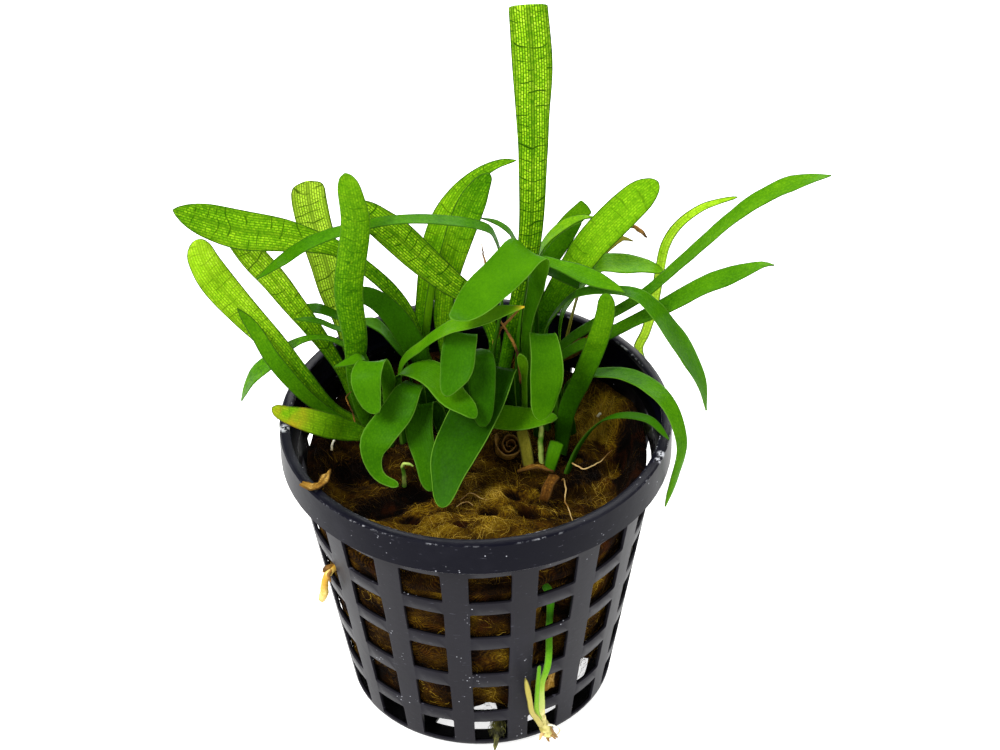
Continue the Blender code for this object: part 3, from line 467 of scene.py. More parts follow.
def woolMaterial():
    # spun mineral wool, soaked and stained: matted dull fibre, with painted light making the ridges gold and
    # painted shade making the hollows near black
    material, add = newMaterial("spunMineralWool")
    place = add("TexCoord").outputs["Object"]
    shade = add("Attribute", attribute_name="shade", attribute_type="GEOMETRY").outputs["Fac"]
    stretched = add("Mapping", {"Scale": (1.0, 0.5, 1.5), "Rotation": (0.5, 0.4, 0.7), "Vector": place})
    strands = add("TexNoise", {
        "Scale": 1700.0, "Detail": 4.0, "Roughness": 0.65, "Distortion": 1.5, "Vector": stretched,
    })
    stains = add("TexNoise", {"Scale": 260.0, "Detail": 4.0, "Roughness": 0.6, "Vector": place})
    # long swirling lines of fibre, bent by slow noise
    swirl = add("TexNoise", {"Scale": 120.0, "Detail": 1.0, "Vector": place})
    drift = add("VectorMath", {"Vector": swirl.outputs["Color"], "Scale": 0.02}, operation="SCALE")
    bent = add("VectorMath", (place, drift), operation="ADD")
    lines = add("TexWave", {
        "Scale": 1150.0, "Distortion": 3.0, "Detail": 2.0, "Detail Scale": 1.4, "Vector": bent,
    }, wave_type="BANDS", bands_direction="DIAGONAL")
    spot = shade
    for pattern, strength in ((strands, 0.85), (lines.outputs["Fac"], 0.22), (stains, 0.7)):
        swing = add("Math", (pattern, 0.5), operation="SUBTRACT")
        spot = add("Math", (swing, strength, spot), operation="MULTIPLY_ADD")
    base = add("ValToRGB", (spot,))
    spreadTones(base, woolSkin["tones"])
    rust = add("MapRange", (stains.outputs["Color"], 0.5, 0.7, 0.0, 0.35), **smoothStep)
    base = add("Mix", {0: rust, 6: base, 7: linear(woolSkin["rust"])}, data_type="RGBA")
    relief = add("Math", (lines.outputs["Fac"], 0.35, strands), operation="MULTIPLY_ADD")
    bump = add("Bump", {"Strength": 1.0, "Distance": woolSkin["bumpHeight"], "Height": relief})
    skin = add("BsdfPrincipled",
               {"Roughness": 0.9, "Specular IOR Level": 0.03, "Base Color": base, "Normal": bump})
    add("OutputMaterial", (skin,))
    return material


def fibreMaterial():
    # single glassy fibres over the mat: the same stain and painted light and shade as the wool under them, a
    # little paler
    material, add = newMaterial("glassyWoolFibre")
    place = add("TexCoord").outputs["Object"]
    shade = add("Attribute", attribute_name="shade", attribute_type="GEOMETRY").outputs["Fac"]
    patches = add("TexNoise", {"Scale": 500.0, "Detail": 2.0, "Vector": place})
    swing = add("Math", (patches, 0.45), operation="SUBTRACT")
    spot = add("Math", (swing, 0.7, shade), operation="MULTIPLY_ADD")
    base = add("ValToRGB", (spot,))
    spreadTones(base, woolSkin["tones"] + [woolSkin["fibreTip"]])
    skin = add("BsdfPrincipled", {"Roughness": 0.5, "Specular IOR Level": 0.08, "Base Color": base})
    add("OutputMaterial", (skin,))
    return material


def strandMaterial(name, dark, pale, rough, scale):
    # thin natural strand: root or dry stalk; two colours in patches along it
    material, add = newMaterial(name)
    place = add("TexCoord").outputs["Object"]
    patches = add("TexNoise", {"Scale": scale, "Detail": 3.0, "Vector": place})
    paleShare = add("MapRange", (patches, 0.35, 0.65), **smoothStep)
    base = add("Mix", {0: paleShare, 6: linear(dark), 7: linear(pale)}, data_type="RGBA")
    bump = add("Bump", {"Strength": 0.4, "Distance": 0.0002, "Height": patches})
    skin = add("BsdfPrincipled",
               {"Roughness": rough, "Specular IOR Level": 0.2, "Base Color": base, "Normal": bump})
    add("OutputMaterial", (skin,))
    return material


materials = {name: leafMaterial(name) for name in leafKinds}
materials["pot"] = potMaterial()
materials["wool"] = woolMaterial()
materials["fibre"] = fibreMaterial()
strandKinds = {  # name, dark and pale tone, roughness, patches per metre
    "stalk": ("driedStalk", "#3b260c", "#94682a", 0.7, 500.0),
    "root": ("livingRoot", "#7d5a26", "#bfa268", 0.5, 500.0),
    "whiteRoot": ("freshRootTip", "#b9ab84", "#ece6d2", 0.45, 500.0),
    "crown": ("rootCrown", "#8f8438", "#d6cc84", 0.5, 700.0),
    "shoot": ("yellowShoot", "#b98c2a", "#e2cd78", 0.45, 420.0),
    "sprout": ("greenSprout", "#3f6f12", "#a4b858", 0.45, 330.0),
    "tuft": ("oliveRootHair", "#20200a", "#5b5a22", 0.6, 900.0),
}
for kind, values in strandKinds.items():
    materials[kind] = strandMaterial(*values)
print("materials ready")


# Net pot: a turned sheet with its windows cut out, given a wall and softened edges

potLook = {
    "footRadius": 18.6 * mm, "wallBase": 19.0 * mm, "shoulderRadius": 25.6 * mm, "shoulderHeight": 41.0 * mm,
    "collarRadius": 27.5 * mm, "lipInner": 26.0 * mm, "height": 46.3 * mm, "wall": 0.55 * mm,
    "hub": 5.0 * mm, "floorRing": 15.9 * mm, "columns": 16,
    "frontTurn": 3.2, "windowHalf": 6.95,  # degrees; the rows of windows and their warp are in millimetres
    "bands": [(1.35, 6.05), (8.3, 14.1), (16.8, 22.7), (25.05, 30.35), (32.75, 38.4)],
    "cornerRadius": 0.35 * mm, "edgeRadius": 0.1 * mm, "slices": 6, "warp": 0.16,
}


def wallRadius(height):
    grow = (potLook["shoulderRadius"] - potLook["wallBase"]) / potLook["shoulderHeight"]
    return potLook["wallBase"] + grow * height


def frontAngle(point):
    return math.atan2(point.x, -point.y)


def aroundAxis(radius, angle, height):
    # the place at an angle from the front, round the pot's axis
    return Vector((radius * math.sin(angle), -radius * math.cos(angle), height))


def spinProfile(bm, profile, segments):
    verts = [bm.verts.new((0, -radius, height)) for radius, height in profile]
    edges = [bm.edges.new(pair) for pair in zip(verts, verts[1:])]
    bmesh.ops.spin(bm, geom=verts + edges, cent=(0, 0, 0), axis=(0, 0, 1), angle=math.tau, steps=segments,
                   use_merge=True)
    bmesh.ops.remove_doubles(bm, verts=bm.verts, dist=0.01 * mm)


def makePot():
    look = potLook
    profile = [(0, 0), (look["hub"], 0), (look["floorRing"], 0), (look["footRadius"] - 0.4 * mm, 0),
               (look["footRadius"], 0.2 * mm), (wallRadius(0.8 * mm), 0.8 * mm)]
    profile += [(wallRadius(edge * mm), edge * mm) for band in look["bands"] for edge in band]
    # the collar stands out from the wall as an upright band, with a flat lip on it
    shoulder, collar, top = look["shoulderHeight"], look["collarRadius"], look["height"]
    profile += [(wallRadius(shoulder), shoulder), (collar - 0.3 * mm, shoulder),
                (collar, shoulder + 0.3 * mm), (collar, shoulder + 2.6 * mm),
                (collar - 0.05 * mm, top - 0.3 * mm), (collar - 0.25 * mm, top - 0.05 * mm),
                (collar - 0.5 * mm, top), (look["lipInner"] + 0.25 * mm, top),
                (look["lipInner"], top - 0.15 * mm), (look["lipInner"] - 0.02 * mm, top - 0.9 * mm)]
    bm = bmesh.new()
    spinProfile(bm, profile, look["columns"] * look["slices"])
    step = math.tau / (look["columns"] * look["slices"])
    half = math.radians(look["windowHalf"])
    rib = math.tau / look["columns"] - 2 * half
    lines = [-half, -half / 3, half / 3, half, half + rib / 3, half + 2 * rib / 3]
    for vert in bm.verts:
        radius = math.hypot(vert.co.x, vert.co.y)
        if radius < 0.1 * mm:
            continue
        line = round(frontAngle(vert.co) / step)
        column, place = divmod(line + 1, look["slices"])
        angle = column * math.tau / look["columns"] + lines[place] + math.radians(look["frontTurn"])
        vert.co = aroundAxis(radius, angle, vert.co.z)

    openings = []
    for face in bm.faces:
        centre = face.calc_center_median()
        turn = (frontAngle(centre) - math.radians(look["frontTurn"])) / (math.tau / look["columns"])
        onRib = abs(turn - round(turn)) * math.tau / look["columns"] > half
        inWindow = any(low * mm < centre.z < high * mm for low, high in look["bands"]) and not onRib
        radius = math.hypot(centre.x, centre.y)
        onFloor = centre.z < 0.1 * mm and look["hub"] < radius < look["floorRing"]
        if inWindow or onFloor and not (onRib and math.floor(turn) % 2 == 0):
            openings.append(face)
    bmesh.ops.delete(bm, geom=openings, context="FACES")
    # a cheap moulding: no window edge is quite straight
    for vert in bm.verts:
        if mm < vert.co.z < shoulder - mm:
            warp = look["warp"] * mm
            angle = frontAngle(vert.co) + noise.noise(vert.co * 170) * warp / wallRadius(vert.co.z)
            height = vert.co.z + noise.noise(vert.co * 170 + Vector((5, 0, 0))) * warp
            vert.co = aroundAxis(wallRadius(height), angle, height)
    # round the windows' corners
    corners = []
    for vert in bm.verts:
        rimEdges = [edge for edge in vert.link_edges if edge.is_boundary]
        if len(rimEdges) == 2 and vert.co.z < shoulder - mm:
            first, second = ((edge.other_vert(vert).co - vert.co).normalized() for edge in rimEdges)
            if abs(first.dot(second)) < 0.5:
                corners.append(vert)
    bmesh.ops.bevel(bm, geom=corners, offset=look["cornerRadius"], affect="VERTICES", segments=3, profile=0.5,
                    material=-1, clamp_overlap=True)
    mesh = closeMesh(bm, "potVisual")
    mesh.set_sharp_from_angle(angle=math.radians(35))
    pot = placePiece("potVisual", mesh, materials["pot"], "pot_plastic", "pot")
    wall = pot.modifiers.new("wall", "SOLIDIFY")
    wall.thickness, wall.offset, wall.use_even_offset = look["wall"], -1, True
    soften = pot.modifiers.new("softEdges", "BEVEL")
    soften.width, soften.segments, soften.limit_method = look["edgeRadius"], 2, "ANGLE"
    soften.angle_limit = math.radians(50)
    soften.harden_normals = False


makePot()
print("pot ready")


# Rockwool plug: a turned plug roughed up by noise, and loose fibres over it

woolLook = {
    "bottom": 5.8, "top": 36.0, "wallGap": 0.35, "gapSwing": 0.3, "pressedGap": 0.14,
    "lowest": 33.2, "highest": 41.2, "foldHeight": 0.55, "climbFrom": 19.2,
    "segments": 260, "rings": 80, "sides": 80,
    "mounds": [  # x, y, spread, height, in mm, as in the solid
        (-12, -14, 5, 1.0), (-3, -17, 4, 1.4), (4, -12, 4, 0.8), (9, -16, 4.5, 1.0), (12, -6, 4, -1.8),
        (19, -4, 4, -2.5), (19, 7, 4, -2.5), (-19, -5, 4, -1.0), (1, 24, 4, -2.5), (-12, 20, 4, -1.5),
    ],
    "holes": [  # x, y, radius, depth: the pits between the clumps, which woolShade also paints dark as painted shade
        (1.5, -9.3, 1.3, 2.0), (7.1, -9.3, 1.7, 2.6), (-13.7, -7.2, 3.6, 1.8), (-9, -4.5, 2.6, 1.6),
        (21.1, 1.8, 2.4, 2.6), (15.5, -3.2, 1.8, 1.4), (-17, 1, 3, 1.8), (10, -3.4, 1.2, 1.4),
        (14, 4, 1.6, 1.0), (-2.6, -12.5, 1.2, 1.2), (-9.4, -10.8, 1.4, 1.4), (4.8, -5.2, 1.2, 1.2),
    ],
    "paintedLightAndStains": [  # x, y, spread, how much lighter or darker: painted light and shade patches, with the wool's stains
        (0, -12, 6.5, 0.1), (-6.7, -12, 3, 0.08), (12.9, -8, 4, -0.12), (19.5, 9.5, 3.6, 0.65),
        (11, 9, 5, 0.2), (-15, -5, 6, -0.02), (21.5, -1, 5.5, -0.9), (-16, 6, 6, -0.2),
        (0, 14, 9, -0.2), (8.5, -1.2, 2, 0.1), (3, -6.5, 3, 0.1),
    ],
    "skirt": 38.5, "shade": 0.5,
}


def woolTop(x, y):
    # height in mm of the plug's top, as in the solid
    height = woolLook["top"]
    for moundX, moundY, spread, rise in woolLook["mounds"]:
        height += rise * bump2(x, y, moundX, moundY, spread)
    return height


def woolPit(x, y):
    # depth in mm of the pits, and 0 to 1 for how far in one the place lies
    deep, share = 0, 0
    for holeX, holeY, radius, depth in woolLook["holes"]:
        near = math.exp(-((math.hypot(x - holeX, (y - holeY) * 1.25) / radius) ** 4))
        deep = max(deep, near * depth)
        share = max(share, near)
    return deep, share


def woolFold(x, y):
    # torn clumps: rounded backs with sharp valleys between them, -1 to 1
    bent = Vector((x, y, 0)) * 0.12
    x += 2.2 * noise.noise(bent + Vector((3, 1, 7)))
    y += 2.2 * noise.noise(bent + Vector((9, 4, 2)))
    back = abs(noise.noise(Vector((x * 0.22, y * 0.3, 3)))) * 2.6 - 0.55
    small = abs(noise.noise(Vector((x * 0.45, y * 0.7, 9)))) * 2.4 - 0.5
    return back * 0.7 + small * 0.15


def woolHeight(x, y):
    # height in mm of the visible top at a place
    radius = math.hypot(x, y)
    height = woolTop(x, y) + woolFold(x, y) * woolLook["foldHeight"] - woolPit(x, y)[0]
    height += 0.16 * noise.noise(Vector((x, y, 1)) * 1.3) + 0.16 * noise.noise(Vector((x, y * 0.6, 5)) * 3.4)
    # pressed up against the wall, except at the front
    away = clamp((math.degrees(abs(math.atan2(x, -y))) - 38) / 30)
    climb = away * clamp((radius - woolLook["climbFrom"]) / 3.4) ** 1.5
    skirt = woolLook["skirt"] + 0.35 * noise.noise(Vector((x, y, 2)) * 0.5)
    # higher at the back, where only one chink of light is left
    skirt += 0.9 * clamp((y - 5) / 3) - 2.4 * bump2(x, y, 14.2, 20, 0.9)
    skirt += 2.2 * bump2(x, y, 23, 5, 4.5)
    height += climb * (skirt - height)
    height -= (1 - away) * 0.6 * max(0, radius - 21.5)
    return clamp(height, woolLook["lowest"], woolLook["highest"])


def woolShade(x, y, height):
    # from 0, near black, to 1, gold, for the mat and the fibres on it: the wool's stain tone with painted
    # light and shade
    shade = woolLook["shade"]
    if height > 34:
        for tintX, tintY, spread, more in woolLook["paintedLightAndStains"]:
            shade += more * bump2(x, y, tintX, tintY, spread)
        # painted light on the ridges, painted shade in the pits and near the wall
        shade += 0.24 * woolFold(x, y) - 0.75 * woolPit(x, y)[1]
        shade -= 0.25 * clamp((math.hypot(x, y) - 20.5) / 3)
    else:
        turn = math.degrees(math.atan2(x, -y))
        # painted shade: darker round the left side; also darker towards the bottom
        shade += -0.06 - 0.14 * clamp((-turn - 20) / 40)
        shade += 0.5 * noise.noise(Vector((x, y, height)) * 0.3)
        shade -= 0.006 * (20 - min(20, height))
    return clamp(shade)


def sideRadius(angle, height):
    # mm, radius of the plug's side; it is dented where the young plant's leaf runs in behind the ribs
    gap = woolLook["wallGap"] + woolLook["gapSwing"] * math.sin(angle)
    # the top's edge is pressed against the wall, except at the front
    pressed = clamp((height - 33) / 2) * clamp((abs(math.degrees(angle)) - 45) / 25)
    gap += (woolLook["pressedGap"] - gap) * pressed
    radius = (wallRadius(height * mm) - potLook["wall"]) / mm - gap
    dent = math.exp(-0.5 * ((angle - 0.49) * radius / 1.5) ** 2)
    if 16.5 < height < 34.5:
        radius -= dent * 2.6 * min(1, (height - 16.5) / 2, (34.5 - height) / 2)
    return radius


def markShade(mesh, strandCount=0):
    values = [woolShade(vert.co.x / mm, vert.co.y / mm, vert.co.z / mm) for vert in mesh.vertices]
    if strandCount:
        # every fibre is a little paler or darker than the mat
        each = len(values) // strandCount
        chance = random.Random(3)
        offsets = [chance.gauss(0.04, 0.18) for i in range(strandCount + 1)]
        values = [clamp(value + offsets[i // each], 0, 1.2) for i, value in enumerate(values)]
    mesh.attributes.new("shade", "FLOAT", "POINT").data.foreach_set("value", values)


def makeWool():
    look = woolLook
    outer = sideRadius(0, look["top"]) * mm
    profile = [(0, look["bottom"] * mm)]
    profile += [(share * 17.5 * mm / 16, look["bottom"] * mm) for share in range(1, 17)]
    sideFrom, sideTo = look["bottom"] + 0.5, look["top"] - 0.8
    for i in range(look["sides"]):
        height = (sideFrom + (sideTo - sideFrom) * i / (look["sides"] - 1)) * mm
        profile.append((wallRadius(height), height))
    for i in range(look["rings"]):
        profile.append((outer * (1 - (i + 0.3) / look["rings"]), look["top"] * mm))
    profile.append((0, look["top"] * mm))
    bm = bmesh.new()
    spinProfile(bm, profile, look["segments"])
    for vert in bm.verts:
        spot = vert.co.copy()
        angle = frontAngle(spot)
        if spot.z > (look["top"] - 0.1) * mm:
            reach = sideRadius(angle, look["top"]) * mm / outer
            x, y = spot.x / mm * reach, spot.y / mm * reach
            vert.co = Vector((x, y, woolHeight(x, y))) * mm
        elif spot.z > (look["bottom"] + 0.1) * mm:
            height = spot.z / mm
            rough = 0.5 * abs(noise.noise(spot * 260)) + 0.4 * abs(noise.noise(spot * 700))
            rough += 0.12 * noise.noise(spot * 1900)
            upper = clamp((height - 31) / 4)
            radius = (sideRadius(angle, height) - rough * (1 - upper)) * mm
            vert.co = aroundAxis(radius, angle, vert.co.z)
            rise = woolHeight(radius / mm * math.sin(angle), -radius / mm * math.cos(angle)) - look["top"]
            vert.co.z += (rise * upper ** 2 + 0.25 * noise.noise(spot * 900)) * mm
        else:
            vert.co.z += (1.3 * noise.noise(spot * 330) + 0.6 * noise.noise(spot * 900)) * mm
        if spot.z < 16 * mm:
            # torn off higher in front of the hub and at the right front
            turn = math.degrees(angle)
            missing = bump2(turn, 0, 3, 0, 7) * 2.6 + bump2(turn, 0, 49, 0, 7) * 5.5
            missing *= clamp((math.hypot(spot.x, spot.y) / mm - 11) / 5)
            vert.co.z += missing * (16 - spot.z / mm) / 10.2 * mm
    mesh = closeMesh(bm, "rockwoolPlug")
    markShade(mesh)
    placePiece("rockwoolPlug", mesh, materials["wool"], "rockwool", "rockwool")


def strandsMesh(name, strands, depth, sides=0):
    # thin tubes along lists of points with a radius share each, as one mesh
    data = bpy.data.curves.new(name, "CURVE")
    data.dimensions = "3D"
    data.bevel_depth = depth
    data.bevel_resolution = sides
    data.use_fill_caps = True
    for points in strands:
        spline = data.splines.new("POLY")
        spline.points.add(len(points) - 1)
        for point, (place, share) in zip(spline.points, points):
            point.co = (*place, 1)
            point.radius = share
    guide = bpy.data.objects.new(name + "Guide", data)
    bpy.context.collection.objects.link(guide)
    mesh = bpy.data.meshes.new_from_object(guide.evaluated_get(bpy.context.evaluated_depsgraph_get()))
    mesh.name = name
    bpy.data.objects.remove(guide)
    mesh.shade_smooth()
    return mesh


fibreLook = {"locks": 760, "perLock": 6, "side": 1500, "fringe": 420, "thick": 0.022 * mm, "points": 7}


def topFibres(chance):
    # locks of fibres that lie with the flow of the mat
    strands = []
    for i in range(fibreLook["locks"]):
        radius = 22.6 * math.sqrt(chance.random())
        angle = chance.uniform(0, math.tau)
        lockX, lockY = radius * math.cos(angle), radius * math.sin(angle)
        pit = woolPit(lockX, lockY)[1]
        if pit > 0.4 and chance.random() < 0.85:
            continue
        flow = noise.noise(Vector((lockX, lockY, 20)) * 0.14) * 7
        for j in range(fibreLook["perLock"]):
            x, y = lockX + chance.gauss(0, 0.45), lockY + chance.gauss(0, 0.45)
            heading = flow + chance.gauss(0, 0.45)
            bend = chance.gauss(0, 0.35)
            reach = chance.uniform(0.25, 0.62)
            arch = max(0, chance.gauss(0.04, 0.16))
            points = []
            for k in range(fibreLook["points"]):
                share = k / (fibreLook["points"] - 1)
                edge = math.hypot(x, y) / 23.0
                if edge > 1:
                    x, y = x / edge, y / edge
                rise = arch * math.sin(share * math.pi) + 0.03
                points.append((Vector((x, y, woolHeight(x, y) + rise)) * mm, 1 - 0.5 * share))
                heading += bend * 0.5 + chance.uniform(-0.25, 0.25)
                x += reach * math.cos(heading)
                y += reach * math.sin(heading)
            strands.append(points)
    return strands


def sideFibres(chance):
    # fibres on the side, and the loose ends that hang from its lower edge
    strands = []
    for i in range(fibreLook["side"]):
        angle = chance.uniform(0, math.tau)
        height = chance.uniform(6.5, 34)
        tilt = chance.gauss(0, 0.5) + (math.pi if chance.random() < 0.5 else 0)
        bend = chance.gauss(0, 0.4)
        points = []
        for j in range(fibreLook["points"]):
            radius = sideRadius(angle, height) - 0.1 + chance.uniform(-0.25, 0.1)
            points.append((aroundAxis(radius, angle, height) * mm, 1))
            tilt += bend * 0.5 + chance.uniform(-0.25, 0.25)
            angle += 0.55 * math.cos(tilt) / radius
            height = clamp(height + 0.55 * math.sin(tilt), 6.2, 34.6)
        strands.append(points)
    for i in range(fibreLook["fringe"]):
        angle = chance.uniform(0, math.tau)
        radius = chance.uniform(10, 17.6) if chance.random() < 0.35 else chance.uniform(16.6, 17.9)
        height = chance.uniform(6.2, 7.4)
        points = []
        for j in range(fibreLook["points"]):
            points.append((aroundAxis(radius, angle, height) * mm, 1 - 0.1 * j))
            height -= chance.uniform(0.0, 0.35)
            angle += chance.uniform(-0.035, 0.035)
            radius = min(17.9, radius + chance.uniform(-0.3, 0.25))
        strands.append(points)
    return strands


def makeFibres():
    for name, strands in (("woolFibresTop", topFibres(random.Random(7))),
                          ("woolFibresSide", sideFibres(random.Random(8)))):
        mesh = strandsMesh(name, strands, fibreLook["thick"])
        markShade(mesh, len(strands))
        placePiece(name, mesh, materials["fibre"], "rockwool")


makeWool()
makeFibres()
print("rockwool ready")


# Leaves: a grid laid along the leaf's route, hollowed like a channel, with a skin that thins to the rim

leafLook = {
    "across": 10, "step": 0.8, "thickest": 1.1 * mm, "blade": 0.28 * mm, "petiole": 0.75, "sink": 1.2,
    "wave": 0.035, "channel": 0.07, "scrapSkin": 0.22,
    "tipSteps": (0.3, 0.55, 0.75, 0.9),  # the last steps get short, so that the tip's outline is smooth
    # tip: reach in widths, curve and power of its outline, its least share, and least width of the last point
    "tips": {
        "round": (0.85, 2, 0.5, 0.003, 0.8), "ogive": (1.25, 2, 0.75, 0.01, 0.8),
        "point": (1.6, 1, 0.6, 0.05, 0.5), "blunt": (0.4, 3, 0.4, 0.01, 0.95),
        "cut": (0.1, 3, 0.4, 0.01, 0.95),
    },
}
green, light, faded = "leafBladeGreen", "leafBladeLime", "leafBladeFaded"
young, dried = "leafBladeYoung", "leafBladeDried"
slotOf = {green: "leaf_green", light: "leaf_light", faded: "leaf_old", young: "leaf_light", dried: "root_tan"}
